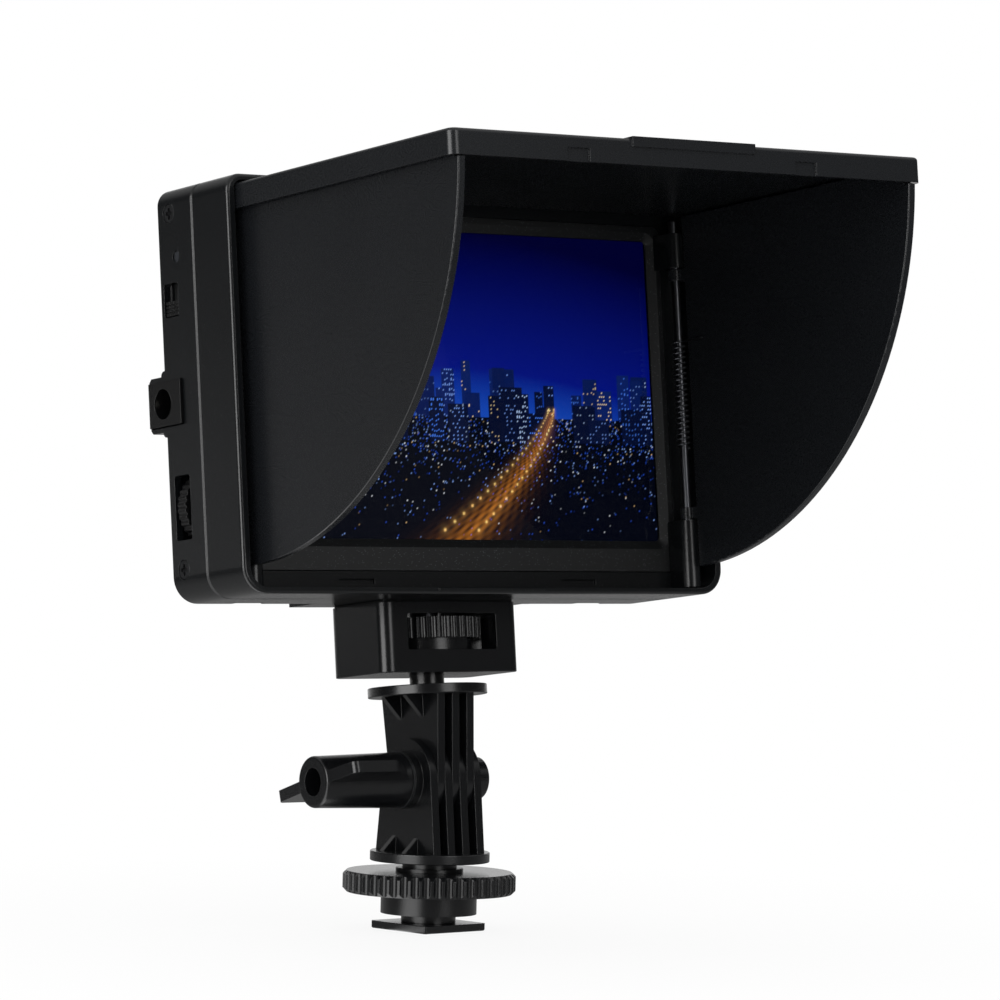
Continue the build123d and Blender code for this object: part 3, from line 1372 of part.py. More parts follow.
def lower_knuckle():
    """Lower half of the tilt joint: post, flange, four prongs and two bosses."""
    with BuildPart() as knuckle:
        rod_along((0, 0, 1), (0, 0, lower_flange_bottom), FLANGE_THICK, FLANGE_DIA)
        fillet(knuckle.edges(), FLANGE_ROUND)
        rod_along(
            (0, 0, 1), (0, 0, FOOT_THICK), lower_flange_bottom - FOOT_THICK + FLANGE_ROUND, POST_DIA
        )
        for x, boss_dia, boss in (
            (-outer_face - KNOB_BOSS, KNOB_BOSS_DIA, KNOB_BOSS),
            (outer_face, NUT_BOSS_DIA, NUT_BOSS),
        ):
            rod_along((1, 0, 0), (x, 0, axis_height), boss, boss_dia)
        prongs(lower_prongs, 0, axis_height, LOWER_REACH + FLANGE_ROUND, PRONG_ROOTS[1], -1)
        rod_along(
            (1, 0, 0), (-knob_start, 0, axis_height), knob_start + outer_face + NUT_BOSS,
            TILT_BOLT + 2 * RUNNING, Mode.SUBTRACT,
        )
        gussets(outer_face, 0, lower_flange_top, -1, GUSSET_REACHES[1], GUSSET_DROPS[1])
        with BuildSketch(nut_plane()):
            RegularPolygon(NUT_ACROSS / 2 + SET_IN, 6, major_radius=False)
        extrude(amount=NUT_THICK, mode=Mode.SUBTRACT)
        rod_along((0, 0, 1), (0, 0, FOOT_THICK), FOOT_SCREW_LENGTH, FOOT_SCREW, Mode.SUBTRACT)
    return knuckle.part


def nut_plane():
    """Plane across X at the seat of the nut in its boss."""
    return Plane(origin=(nut_seat, 0, axis_height), x_dir=(0, 1, 0), z_dir=(1, 0, 0))


def tilt_nut():
    """Hexagon nut in its pocket at the far end of the bolt."""
    with BuildPart() as nut:
        with BuildSketch(nut_plane()):
            RegularPolygon(NUT_ACROSS / 2, 6, major_radius=False)
            Circle(TILT_BOLT / 2 + RUNNING, mode=Mode.SUBTRACT)
        extrude(amount=NUT_THICK)
    return nut.part


def tilt_washer():
    """Flat washer between the wing knob and its boss."""
    with BuildPart() as washer:
        start = (-knob_start, 0, axis_height)
        rod_along((1, 0, 0), start, WASHER_THICK, KNOB_BOSS_DIA)
        rod_along((1, 0, 0), start, WASHER_THICK, TILT_BOLT + 2 * RUNNING, Mode.SUBTRACT)
    return washer.part


def knob_blades():
    """Outline of the two blades with the sleeve between them."""
    def sleeve(x):
        taper = (KNOB_ROOT_DIA - KNOB_END_DIA) / 2 * x / KNOB_LENGTH
        return KNOB_END_DIA / 2 + taper - END_GAP

    low_start = (2 * KNOB_ROUND, sleeve(0))
    points = [
        low_start, (BLADE_STARTS[1], sleeve(0)), (BLADE_STARTS[0], BLADE_REACH),
        (BLADE_FLAT, BLADE_REACH), (BLADE_LENGTH, sleeve(BLADE_LENGTH)),
        (KNOB_LENGTH, sleeve(BLADE_LENGTH)),
    ]
    mirrored = [(x, -y) for x, y in reversed(points)]
    with BuildLine() as outline:
        Polyline(*points, *mirrored, close=True)
    make_face(outline.edges())


def wing_knob():
    """Clamping knob: a hollow-ended sleeve with two flat blades."""
    end = (-knob_end, 0, axis_height)
    with BuildPart() as knob:
        with BuildSketch(Plane(origin=(-knob_start, 0, axis_height), x_dir=(0, 1, 0), z_dir=(-1, 0, 0))):
            Circle(KNOB_ROOT_DIA / 2)
        with BuildSketch(Plane(origin=end, x_dir=(0, 1, 0), z_dir=(-1, 0, 0))):
            Circle(KNOB_END_DIA / 2)
        loft()
        fillet(knob.faces().sort_by(Axis.X)[0].edges(), KNOB_ROUND)
        lean = radians(BLADE_ANGLE)
        along = Plane(origin=end, x_dir=(1, 0, 0), z_dir=(0, -sin(lean), cos(lean)))
        with BuildSketch(along.offset(-BLADE_THICK / 2)) as blades:
            knob_blades()
            corners = blades.vertices().group_by(Axis.Y)
            fillet(corners[0] + corners[-1], BLADE_CORNER)
        extrude(amount=BLADE_THICK)
        rod_along((1, 0, 0), end, KNOB_BORE_DEPTH, KNOB_BORE, Mode.SUBTRACT)
        rod_along(
            (1, 0, 0), (-knob_end + KNOB_BORE_DEPTH, 0, axis_height), KNOB_LENGTH, TILT_BOLT,
            Mode.SUBTRACT,
        )
    return knob.part


def tilt_bolt():
    """Bolt moulded into the knob, through the knuckles to the nut."""
    start = -knob_end + KNOB_BORE_DEPTH
    end = outer_face + NUT_BOSS + BOLT_PROUD
    with BuildPart() as bolt:
        rod_along((1, 0, 0), (start, 0, axis_height), end - start, TILT_BOLT)
        chamfer(bolt.faces().sort_by(Axis.X)[-1].edges(), THREAD_CHAMFER)
    return bolt.part


# ---- shoe foot and lock wheel ----------------------------------------------------
def lock_wheel():
    """Knurled wheel with a hub that clamps the camera's shoe against the foot."""
    ring_dia, ring_height = WHEEL_RING
    with BuildPart() as wheel:
        fluted(Plane.XY.offset(hub_top), WHEEL_DIA / 2, WHEEL_TEETH, WHEEL_FLUTE, WHEEL_THICK)
        with BuildSketch(Plane.XZ):
            with Locations((WHEEL_DIA / 2, hub_top), (WHEEL_DIA / 2, wheel_top)):
                Rectangle(2 * WHEEL_ROUND, 2 * WHEEL_ROUND, rotation=45)
        revolve(axis=Axis.Z, mode=Mode.SUBTRACT)
        rod_along((0, 0, 1), (0, 0, HUB_BOTTOM), hub_top - HUB_BOTTOM + SET_IN, HUB_DIA)
        rod_along((0, 0, 1), (0, 0, wheel_top - SET_IN), ring_height + SET_IN, ring_dia)
        rod_along(
            (0, 0, 1), (0, 0, HUB_BOTTOM), lower_flange_bottom - HUB_BOTTOM,
            POST_DIA + 2 * RUNNING, Mode.SUBTRACT,
        )
    return wheel.part


def shoe_foot():
    """Square plate that slides into a camera's accessory shoe."""
    with BuildPart() as foot:
        with BuildSketch():
            RectangleRounded(FOOT_SIZE, FOOT_SIZE, FOOT_CORNER, rotation=FOOT_TURN)
        extrude(amount=FOOT_THICK)
        chamfer(foot.faces().sort_by(Axis.Z)[0].edges(), FOOT_EDGE)
        rod_along((0, 0, 1), (0, 0, 0), FOOT_THICK, FOOT_SCREW + SLIDING, Mode.SUBTRACT)
        with BuildSketch():
            Circle(FOOT_SCREW_HEAD[0] / 2 + RUNNING)
        extrude(amount=FOOT_SINK, taper=45, mode=Mode.SUBTRACT)
    return foot.part


def foot_screw():
    """Countersunk screw that holds the foot to the post."""
    head, head_thick = FOOT_SCREW_HEAD
    with BuildPart() as screw:
        with BuildSketch(Plane.XY.offset(FOOT_SCREW_SUNK)):
            Circle(head / 2 - FOOT_SCREW_SUNK)
        extrude(amount=head_thick, taper=45)
        rod_along((0, 0, 1), (0, 0, head_thick / 2), FOOT_SCREW_LENGTH, FOOT_SCREW - RUNNING)
    return screw.part


def build():
    """Make every piece and write it to the parts folder."""
    os.makedirs("parts", exist_ok=True)
    keep(front_shell(), "front_shell")
    keep(rear_shell(), "rear_shell")
    keep(bezel(), "bezel")
    keep(display_window(), "display_window")
    keep(lcd_panel(), "lcd_panel")
    keep(backlight(), "backlight")
    keep(panel_tray(), "panel_tray")
    keep(main_board(), "main_board")
    keep(board_chips(), "board_chips")
    keep(board_screws(), "board_screws")
    keep(status_led(), "status_led")
    keep(power_slider(), "power_slider")
    keep(power_switch(), "power_switch")
    keep(dc_jack(), "dc_jack")
    keep(dc_pin(), "dc_pin")
    keep(dial_wheel(), "dial_wheel")
    keep(dial_body(), "dial_body")
    keep(hdmi_socket(), "hdmi_socket")
    keep(av_socket(), "av_socket")
    for name, x in zip(KEY_NAMES, key_xs()):
        keep(key_cap(x), f"{name}_key")
    keep(key_switches(), "key_switches")
    keep(battery_plate(), "battery_plate")
    keep(battery_contacts(), "battery_contacts")
    keep(release_button(), "release_button")
    keep(case_screws(), "case_screws")
    keep(lid(), "lid")
    keep(lid_pins(), "lid_pins")
    for name, side, rod_y in (("left", -1, LEFT_ROD_Y), ("right", 1, RIGHT_ROD_Y)):
        keep(wing(side, rod_y), f"{name}_wing")
        keep(rod_holders(side, rod_y), f"{name}_rod_holders")
        keep(hinge_rod(side, rod_y), f"{name}_hinge_rod")
        keep(hinge_spring(side, rod_y), f"{name}_hinge_spring")
    keep(mount_block(), "mount_block")
    keep(block_cover(), "block_cover")
    keep(cover_screws(), "cover_screws")
    keep(thumb_wheel(), "thumb_wheel")
    keep(camera_stud(), "camera_stud")
    keep(thread_bush(), "thread_bush")
    keep(upper_knuckle(), "upper_knuckle")
    keep(swivel_washer(), "swivel_washer")
    keep(swivel_screw(), "swivel_screw")
    keep(lower_knuckle(), "lower_knuckle", ROOT_SEAT)
    keep(tilt_nut(), "tilt_nut", ROOT_SEAT)
    keep(tilt_washer(), "tilt_washer", ROOT_SEAT)
    keep(wing_knob(), "wing_knob", ROOT_SEAT)
    keep(tilt_bolt(), "tilt_bolt", ROOT_SEAT)
    keep(lock_wheel(), "lock_wheel", ROOT_SEAT)
    keep(shoe_foot(), "shoe_foot", ROOT_SEAT)
    keep(foot_screw(), "foot_screw", ROOT_SEAT)


build()
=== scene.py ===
"""A camera field monitor, its sun hood open, on a tilting head with a shoe foot.

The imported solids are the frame.  This script gives each of them its finish, adds the
lit picture and the two coiled springs, and sets up the floor, the light and the camera.
Lengths are written in millimetres, and MM turns them to metres.
"""

from math import cos, pi, radians, sin

import bpy
import numpy as np
from mathutils import Matrix, Vector
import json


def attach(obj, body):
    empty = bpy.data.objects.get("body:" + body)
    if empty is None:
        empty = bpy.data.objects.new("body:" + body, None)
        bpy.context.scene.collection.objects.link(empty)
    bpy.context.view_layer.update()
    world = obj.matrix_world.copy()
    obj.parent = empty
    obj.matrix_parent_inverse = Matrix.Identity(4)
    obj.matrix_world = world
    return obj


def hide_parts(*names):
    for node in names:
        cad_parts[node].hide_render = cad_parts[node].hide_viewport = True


MM = 0.001
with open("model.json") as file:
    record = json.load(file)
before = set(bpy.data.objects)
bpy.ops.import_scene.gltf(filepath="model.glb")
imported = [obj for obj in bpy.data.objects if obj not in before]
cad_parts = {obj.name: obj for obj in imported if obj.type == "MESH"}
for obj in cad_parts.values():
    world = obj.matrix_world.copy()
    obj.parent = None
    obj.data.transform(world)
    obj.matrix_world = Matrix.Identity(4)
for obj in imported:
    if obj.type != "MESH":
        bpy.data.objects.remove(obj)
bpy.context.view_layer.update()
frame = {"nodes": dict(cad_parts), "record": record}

# The monitor's own frame: X right, Y back, Z up, from the bottom of its front plane.
LEAN = radians(7.0)            # how far the screen leans back
AXIS_IN_MONITOR = (0.0, 26.2, -39.6)
AXIS_HEIGHT = 33.7             # tilt axis above the shoe foot's underside

# The lit picture, and the springs of the hood's wings.
PICTURE_SIZE = (110.8, 69.2)
PICTURE_BOTTOM = 12.9
PICTURE_DEPTH = 10.37          # just inside the cover glass
PICTURE_GRID = (384, 240)
ROD_X = 59.3
ROD_Y = {"left": 6.3, "right": 3.6}
SPRING_RADIUS = 1.3            # to the middle of the wire
SPRING_WIRE = 0.5
SPRING_SPAN = (33.6, 58.3)
SPRING_TURNS = 20
SPRING_LEG = 9.0
WING_INNER = 59.65             # inner face of the wing, which the spring's leg lies along

# The light on matt surfaces, and the two softboxes that gloss sees.
AMBIENT = 1.0                  # soft light from all round
LEFT_LAMP_TURN = -40           # degrees from the camera, as seen from above
RIGHT_LAMP_TURN = 42
LAMP_REACH = 1200
LAMP_HEIGHT = 200
LEFT_LAMP_SIZE = (820, 1200)
RIGHT_LAMP_SIZE = (500, 1200)
LEFT_LAMP_POWER = 14.5
RIGHT_LAMP_POWER = 5.0
OBJECT_MIDDLE = (0.0, -30.0, 90.0)

# What gloss sees of the room and the floor.  A pair of numbers is where the change from one
# level to the next starts and ends; those of the floor are metres from the foot.
DIM = 0.05                     # the unlit side of the room and the floor there
ROOM_BEHIND = (0.84, 0.99)     # cosine to straight behind the object: dim, then white
ROOM_ABOVE = (0.25, 0.65)      # sine of the height: no light, then the overhead level
OVERHEAD = 0.6
FLOOR_HALF = 3.0               # half the floor's side, in metres
FLOOR_FAR = (0.4, 0.6)         # behind the object: dim, then white
# FLOOR_LIT, NEAR_FLOOR, LAMP_SECTOR and LAMP_FLOOR paint light onto the floor for gloss: a pool round the
# foot and one under the left softbox.
FLOOR_LIT = (0.2, 0.45)        # all round: the near level, then nothing added
NEAR_FLOOR = 0.24
LAMP_SECTOR = (0.88, 0.98)     # cosine to the left softbox: nothing added, then the lamp's level
LAMP_FLOOR = 2.0
FLOOR_OPEN = (0.05, 0.2)       # for the camera: the foot's share of white, then all white
FOOT_WHITE = 0.9

# The camera, as it looks at the object.
CAMERA_PLACE = (-698.2, -966.5, 112.3)
CAMERA_TURN = 36.51            # from +Y towards +X
CAMERA_PITCH = -0.747
CAMERA_ROLL = -1.375
CAMERA_LENS = 191.3
CAMERA_SENSOR = 36.0


# ---- colours and nodes -----------------------------------------------------------
def linear(hex_colour):
    """Linear RGBA of an sRGB hex colour."""
    parts = [int(hex_colour[i:i + 2], 16) / 255 for i in (1, 3, 5)]
    return [p / 12.92 if p <= 0.04045 else ((p + 0.055) / 1.055) ** 2.4 for p in parts] + [1.0]


def add(tree, kind, inputs=(), **settings):
    """One node with its settings; inputs gives each socket a value or another node's socket.

    Sockets go by name, or by number where several share a name.  On a Map Range node 1 and 2
    are the ends it reads, and 3 and 4 what it gives there.
    """
    node = tree.nodes.new(kind)
    for key, value in settings.items():
        setattr(node, key, value)
    for key, value in dict(inputs).items():
        if isinstance(value, bpy.types.NodeSocket):
            tree.links.new(value, node.inputs[key])
        else:
            node.inputs[key].default_value = value
    return node


def new_material(name):
    """An empty material and its node tree."""
    material = bpy.data.materials.new(name)
    material.use_nodes = True
    material.node_tree.nodes.clear()
    return material, material.node_tree


def finish_surface(tree, shader):
    """Link a shader to the material's output."""
    add(tree, "ShaderNodeOutputMaterial", {"Surface": shader.outputs[0]})


def soft_edge(tree, width):
    """Normal that rounds a moulded or pressed edge by that width, in mm."""
    return add(tree, "ShaderNodeBevel", {"Radius": width * MM}, samples=6).outputs["Normal"]


# ---- finishes --------------------------------------------------------------------
def moulded_plastic(name, dark, pale, roughness, grain, depth, edge=0.2, glint_speck=0.0):
    """Black ABS or nylon from a spark-eroded mould.

    The even grain, as wide as `grain` mm, breaks up the gloss, large soft patches drift
    between two near blacks, and the rounded mould edges catch thin bright lines.  Where asked,
    pale dots are painted into the colour as glints: painted highlights for the grain's sparkle.
    """
    material, tree = new_material(name)
    place = add(tree, "ShaderNodeTexCoord").outputs["Object"]
    skin = add(tree, "ShaderNodeTexNoise", {"Vector": place, "Scale": 1 / (grain * MM), "Detail": 4.0})
    drift = add(tree, "ShaderNodeTexNoise", {"Vector": place, "Scale": 1 / (24 * MM), "Detail": 2.0})
    tone = add(
        tree, "ShaderNodeMix", {"Factor": drift.outputs["Fac"], "A": linear(dark), "B": linear(pale)},
        data_type="RGBA",
    )
    gloss = add(
        tree, "ShaderNodeMapRange",
        {"Value": skin.outputs["Fac"], 3: roughness - 0.06, 4: roughness + 0.06},
    )
    bump = add(
        tree, "ShaderNodeBump",
        {"Height": skin.outputs["Fac"], "Distance": depth * MM, "Normal": soft_edge(tree, edge)},
    )
    colour = tone.outputs["Result"]
    # Painted glints: pale dots mixed into the colour stand in for the sparkle of the grain.
    if glint_speck:
        glint_cells = add(tree, "ShaderNodeTexVoronoi", {"Vector": place, "Scale": 1 / (0.55 * MM)})
        point = add(
            tree, "ShaderNodeMapRange",
            {"Value": glint_cells.outputs["Distance"], 1: 0.16, 2: 0.05, 3: 0.0, 4: glint_speck},
        )
        colour = add(
            tree, "ShaderNodeMix",
            {"Factor": point.outputs[0], "A": colour, "B": linear("#B9BEC6")}, data_type="RGBA",
        ).outputs["Result"]
    shader = add(
        tree, "ShaderNodeBsdfPrincipled",
        {"Base Color": colour, "Roughness": gloss.outputs[0], "IOR": 1.5, "Normal": bump.outputs[0]},
    )
    finish_surface(tree, shader)
    return material


def drawn_steel(name, colour, roughness, line=0.08):
    """Steel drawn through a die and darkened: fine scratches run along the wire or bar."""
    material, tree = new_material(name)
    place = add(tree, "ShaderNodeTexCoord").outputs["Object"]
    lengthwise = add(tree, "ShaderNodeMapping", {"Vector": place, "Scale": (1.0, 1.0, 0.06)})
    scratch = add(
        tree, "ShaderNodeTexNoise",
        {"Vector": lengthwise.outputs[0], "Scale": 1 / (line * MM), "Detail": 3.0},
    )
    gloss = add(
        tree, "ShaderNodeMapRange",
        {"Value": scratch.outputs["Fac"], 3: roughness - 0.08, 4: roughness + 0.1},
    )
    bump = add(
        tree, "ShaderNodeBump",
        {"Height": scratch.outputs["Fac"], "Distance": 0.004 * MM, "Normal": soft_edge(tree, 0.1)},
    )
    shader = add(
        tree, "ShaderNodeBsdfPrincipled",
        {"Base Color": linear(colour), "Metallic": 1.0, "Roughness": gloss.outputs[0],
         "Normal": bump.outputs[0]},
    )
    finish_surface(tree, shader)
    return material


def oxide_steel(name):
    """Screws in black oxide: a dull dark metal with paler rubbed patches."""
    material, tree = new_material(name)
    place = add(tree, "ShaderNodeTexCoord").outputs["Object"]
    wear = add(tree, "ShaderNodeTexNoise", {"Vector": place, "Scale": 1 / (0.9 * MM), "Detail": 5.0})
    tone = add(
        tree, "ShaderNodeMix",
        {"Factor": wear.outputs["Fac"], "A": linear("#1E1F20"), "B": linear("#4A4B4D")}, data_type="RGBA",
    )
    shader = add(
        tree, "ShaderNodeBsdfPrincipled",
        {"Base Color": tone.outputs["Result"], "Metallic": 0.8, "Roughness": 0.38,
         "Normal": soft_edge(tree, 0.12)},
    )
    finish_surface(tree, shader)
    return material


def plated_metal(name, colour, roughness):
    """Nickel or gold plate over brass: smooth, with a faint waviness from the bath."""
    material, tree = new_material(name)
    place = add(tree, "ShaderNodeTexCoord").outputs["Object"]
    wave = add(tree, "ShaderNodeTexNoise", {"Vector": place, "Scale": 1 / (1.6 * MM), "Detail": 1.0})
    bump = add(
        tree, "ShaderNodeBump",
        {"Height": wave.outputs["Fac"], "Distance": 0.01 * MM, "Normal": soft_edge(tree, 0.1)},
    )
    shader = add(
        tree, "ShaderNodeBsdfPrincipled",
        {"Base Color": linear(colour), "Metallic": 1.0, "Roughness": roughness, "Normal": bump.outputs[0]},
    )
    finish_surface(tree, shader)
    return material


def cover_glass(name):
    """Polished cover glass with an anti-reflection coat: clear, its mirror gloss much dimmed."""
    material, tree = new_material(name)
    place = add(tree, "ShaderNodeTexCoord").outputs["Object"]
    haze = add(tree, "ShaderNodeTexNoise", {"Vector": place, "Scale": 1 / (8 * MM), "Detail": 2.0})
    gloss = add(tree, "ShaderNodeMapRange", {"Value": haze.outputs["Fac"], 3: 0.0, 4: 0.05})
    shader = add(
        tree, "ShaderNodeBsdfPrincipled",
        {"Base Color": linear("#F4F7FB"), "Roughness": gloss.outputs[0], "IOR": 1.5,
         "Specular IOR Level": 0.15, "Transmission Weight": 1.0},
    )
    finish_surface(tree, shader)
    return material


def tinted_lens(name):
    """Unlit lamp lens in tinted epoxy: dark, glossy and a little see-through."""
    material, tree = new_material(name)
    place = add(tree, "ShaderNodeTexCoord").outputs["Object"]
    cloud = add(tree, "ShaderNodeTexNoise", {"Vector": place, "Scale": 1 / (0.8 * MM), "Detail": 2.0})
    tone = add(
        tree, "ShaderNodeMix",
        {"Factor": cloud.outputs["Fac"], "A": linear("#26282B"), "B": linear("#383B40")}, data_type="RGBA",
    )
    shader = add(
        tree, "ShaderNodeBsdfPrincipled",
        {"Base Color": tone.outputs["Result"], "Roughness": 0.18, "IOR": 1.54, "Coat Weight": 0.6},
    )
    finish_surface(tree, shader)
    return material


def board_laminate(name):
    """Green solder mask on glass cloth: the 0.4 mm weave shows faintly through the mask."""
    material, tree = new_material(name)
    place = add(tree, "ShaderNodeTexCoord").outputs["Object"]
    weave = add(
        tree, "ShaderNodeTexWave", {"Vector": place, "Scale": 1 / (0.4 * MM) / 20, "Distortion": 0.4}
    )
    tone = add(
        tree, "ShaderNodeMix",
        {"Factor": weave.outputs["Fac"], "A": linear("#0E4A2A"), "B": linear("#166339")}, data_type="RGBA",
    )
    shader = add(
        tree, "ShaderNodeBsdfPrincipled",
        {"Base Color": tone.outputs["Result"], "Roughness": 0.3, "Coat Weight": 0.4},
    )
    finish_surface(tree, shader)
    return material


def diffuser_sheet(name, dark, pale, roughness):
    """Layers of the display behind its glass: smooth sheet with a faint cloudiness."""
    material, tree = new_material(name)
    place = add(tree, "ShaderNodeTexCoord").outputs["Object"]
    cloud = add(tree, "ShaderNodeTexNoise", {"Vector": place, "Scale": 1 / (12 * MM), "Detail": 2.0})
    tone = add(
        tree, "ShaderNodeMix",
        {"Factor": cloud.outputs["Fac"], "A": linear(dark), "B": linear(pale)}, data_type="RGBA",
    )
    shader = add(
        tree, "ShaderNodeBsdfPrincipled",
        {"Base Color": tone.outputs["Result"], "Roughness": roughness},
    )
    finish_surface(tree, shader)
    return material


def lit_picture(name):
    """Backlit display: each point gives off the colour that the picture has there.

    It is bonded to the glass, so it has hardly any gloss of its own, and its dim light is
    left out of what the black hood gives back.
    """
    material, tree = new_material(name)
    picture = add(tree, "ShaderNodeVertexColor", layer_name="picture")
    rays = add(tree, "ShaderNodeLightPath")
    bounced = add(
        tree, "ShaderNodeMath", {0: rays.outputs["Diffuse Depth"], 1: rays.outputs["Glossy Depth"]},
        operation="ADD",
    )
    direct = add(tree, "ShaderNodeMath", {0: bounced.outputs[0], 1: 0.5}, operation="LESS_THAN")
    shader = add(
        tree, "ShaderNodeBsdfPrincipled",
        {"Base Color": linear("#050608"), "Roughness": 0.25, "Specular IOR Level": 0.1,
         "Emission Color": picture.outputs["Color"], "Emission Strength": direct.outputs[0]},
    )
    finish_surface(tree, shader)
    return material


FINISHES = {
    "shell_plastic": moulded_plastic("satin black ABS shell", "#0D0F11", "#111315", 0.25, 0.30, 0.010),
    # The bezel's pale specks are painted glints, standing in for the sparkle of its grain.
    "bezel_plastic": moulded_plastic(
        "grained black ABS bezel", "#0F1113", "#141618", 0.42, 0.35, 0.03, glint_speck=0.45
    ),
    "hood_plastic": moulded_plastic("satin black ABS hood", "#16181B", "#1B1D20", 0.27, 0.25, 0.009),
    "mount_plastic": moulded_plastic("black glass-filled nylon", "#0D0E10", "#121315", 0.24, 0.30, 0.010),
    "plate_plastic": moulded_plastic("black ABS battery plate", "#0B0B0C", "#101011", 0.34, 0.30, 0.012),
    "button_plastic": moulded_plastic("black ABS buttons", "#0B0B0C", "#101011", 0.28, 0.22, 0.010),
    "jack_plastic": moulded_plastic("black nylon socket", "#070708", "#0B0B0C", 0.24, 0.25, 0.006),
    "chip_plastic": moulded_plastic("moulded epoxy", "#121314", "#1A1B1C", 0.45, 0.15, 0.010),
    "hinge_steel": drawn_steel("darkened drawn steel", "#68696D", 0.30),
    "spring_steel": drawn_steel("darkened spring wire", "#6E7075", 0.30),
    "tray_steel": drawn_steel("pressed steel sheet", "#A4A6A8", 0.35, line=0.3),
    "black_steel": oxide_steel("black oxide steel"),
    "nickel_pin": plated_metal("bright nickel plate", "#C9C5BC", 0.18),
    "nickel_shell": plated_metal("dull nickel plate", "#B5B3AE", 0.30),
    "contact_brass": plated_metal("plated brass", "#D9B76A", 0.25),
    "cover_glass": cover_glass("coated cover glass"),
    "led_lens": tinted_lens("smoke grey epoxy lens"),
    "board_laminate": board_laminate("green circuit laminate"),
    "lcd_glass": diffuser_sheet("unlit display glass", "#06070A", "#0A0C12", 0.2),
    "light_guide": diffuser_sheet("white acrylic light guide", "#E4E6E8", "#F2F3F4", 0.35),
}


def dress_nodes():
    """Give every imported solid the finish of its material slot."""
    slots = {part["node"]: part["material_slot"] for part in frame["record"]["subparts"]}
    for name, piece in frame["nodes"].items():
        piece.data.materials.clear()
        piece.data.materials.append(FINISHES[slots[name]])


# ---- new pieces ------------------------------------------------------------------
def from_monitor(points):
    """Points of the monitor's frame in mm, leaned back and carried onto the foot, in metres."""
    x, y, z = np.moveaxis(np.asarray(points, dtype=float) - AXIS_IN_MONITOR, -1, 0)
    leaned = (x, y * cos(LEAN) + z * sin(LEAN), z * cos(LEAN) - y * sin(LEAN) + AXIS_HEIGHT)
    return np.stack(leaned, axis=-1) * MM


def grid_piece(name, points, wrap=False):
    """A mesh over a grid of points: neighbours in rows and columns make the faces."""
    rows, columns = points.shape[:2]
    index = np.arange(rows * columns).reshape(rows, columns)
    ahead = np.roll(index, -1, axis=1) if wrap else index[:, 1:]
    here = index if wrap else index[:, :-1]
    faces = np.stack([here[:-1], ahead[:-1], ahead[1:], here[1:]], axis=-1).reshape(-1, 4)
    mesh = bpy.data.meshes.new(name)
    mesh.from_pydata(points.reshape(-1, 3).tolist(), [], faces.tolist())
    mesh.update()
    piece = bpy.data.objects.new(name, mesh)
    bpy.context.scene.collection.objects.link(piece)
    return piece


def tube_points(path, radius, around=8):
    """A round tube along a path, closed to a point at both ends.

    At each path point a circle stands across the path: the radius times the cosine of the
    angle along one normal plus the sine along the other.
    """
    along = np.gradient(path, axis=0)
    along /= np.linalg.norm(along, axis=1, keepdims=True)
    side = np.cross(along, (0.0, 0.0, 1.0))
    side /= np.linalg.norm(side, axis=1, keepdims=True)
    up = np.cross(side, along)
    size = np.full(len(path), radius)
    size[[0, -1]] = 0.0
    angle = np.linspace(0, 2 * pi, around, endpoint=False)
    ring = np.cos(angle)[None, :, None] * side[:, None] + np.sin(angle)[None, :, None] * up[:, None]
    return path[:, None] + size[:, None, None] * ring


def wing_spring(side):
    """Torsion spring on a wing's rod: a helix of even pitch, then a straight leg.

    The helix turns round the rod while it climbs.  At the top, in front of the rod, the wire
    bends forward and runs along the wing's inner face.
    """
    sign = -1.0 if side == "left" else 1.0
    turns = np.linspace(0.0, 1.0, SPRING_TURNS * 24 + 1)
    angle = sign * 2 * pi * SPRING_TURNS * turns - pi / 2
    centre = (sign * ROD_X, ROD_Y[side])
    height = SPRING_SPAN[0] + (SPRING_SPAN[1] - SPRING_SPAN[0]) * turns
    across = centre[0] + SPRING_RADIUS * np.cos(angle)
    back = centre[1] + SPRING_RADIUS * np.sin(angle)
    helix = np.stack([across, back, height], axis=1)
    reach = np.linspace(SPRING_RADIUS + SPRING_WIRE, SPRING_LEG, 12)
    face = sign * (WING_INNER - SPRING_WIRE / 2)
    leg = np.stack([np.full(12, face), centre[1] - reach, np.full(12, height[-1])], axis=1)
    points = from_monitor(tube_points(np.concatenate([helix, leg]), SPRING_WIRE / 2))
    piece = grid_piece(f"{side}_coiled_spring", points, wrap=True)
    piece.data.materials.append(FINISHES["spring_steel"])
    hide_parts(f"{side}_hinge_spring")
    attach(piece, f"hood_{side}")
    return piece


# ---- the picture on the display --------------------------------------------------
HORIZON = 0.42                 # height of the skyline's foot, as a share of the picture
AVENUE_LAMPS = 26              # on each side


def paint_sky(x, z):
    """Night sky: bright blue at the horizon, navy a quarter of the way up, near black at the top.

    Away from the glow's middle a point counts as higher, by the square of its distance.
    """
    share = np.clip((z - HORIZON + 0.35 * (x - 0.42) ** 2) / (1 - HORIZON), 0, 1)[..., None]
    low, middle, high = (np.array(linear(c)[:3]) for c in ("#1446B0", "#03127A", "#01012C"))
    near = low + (middle - low) * np.clip(share / 0.25, 0, 1)
    far = middle + (high - middle) * np.clip((share - 0.25) / 0.75, 0, 1)
    return np.where(share < 0.25, near, far)


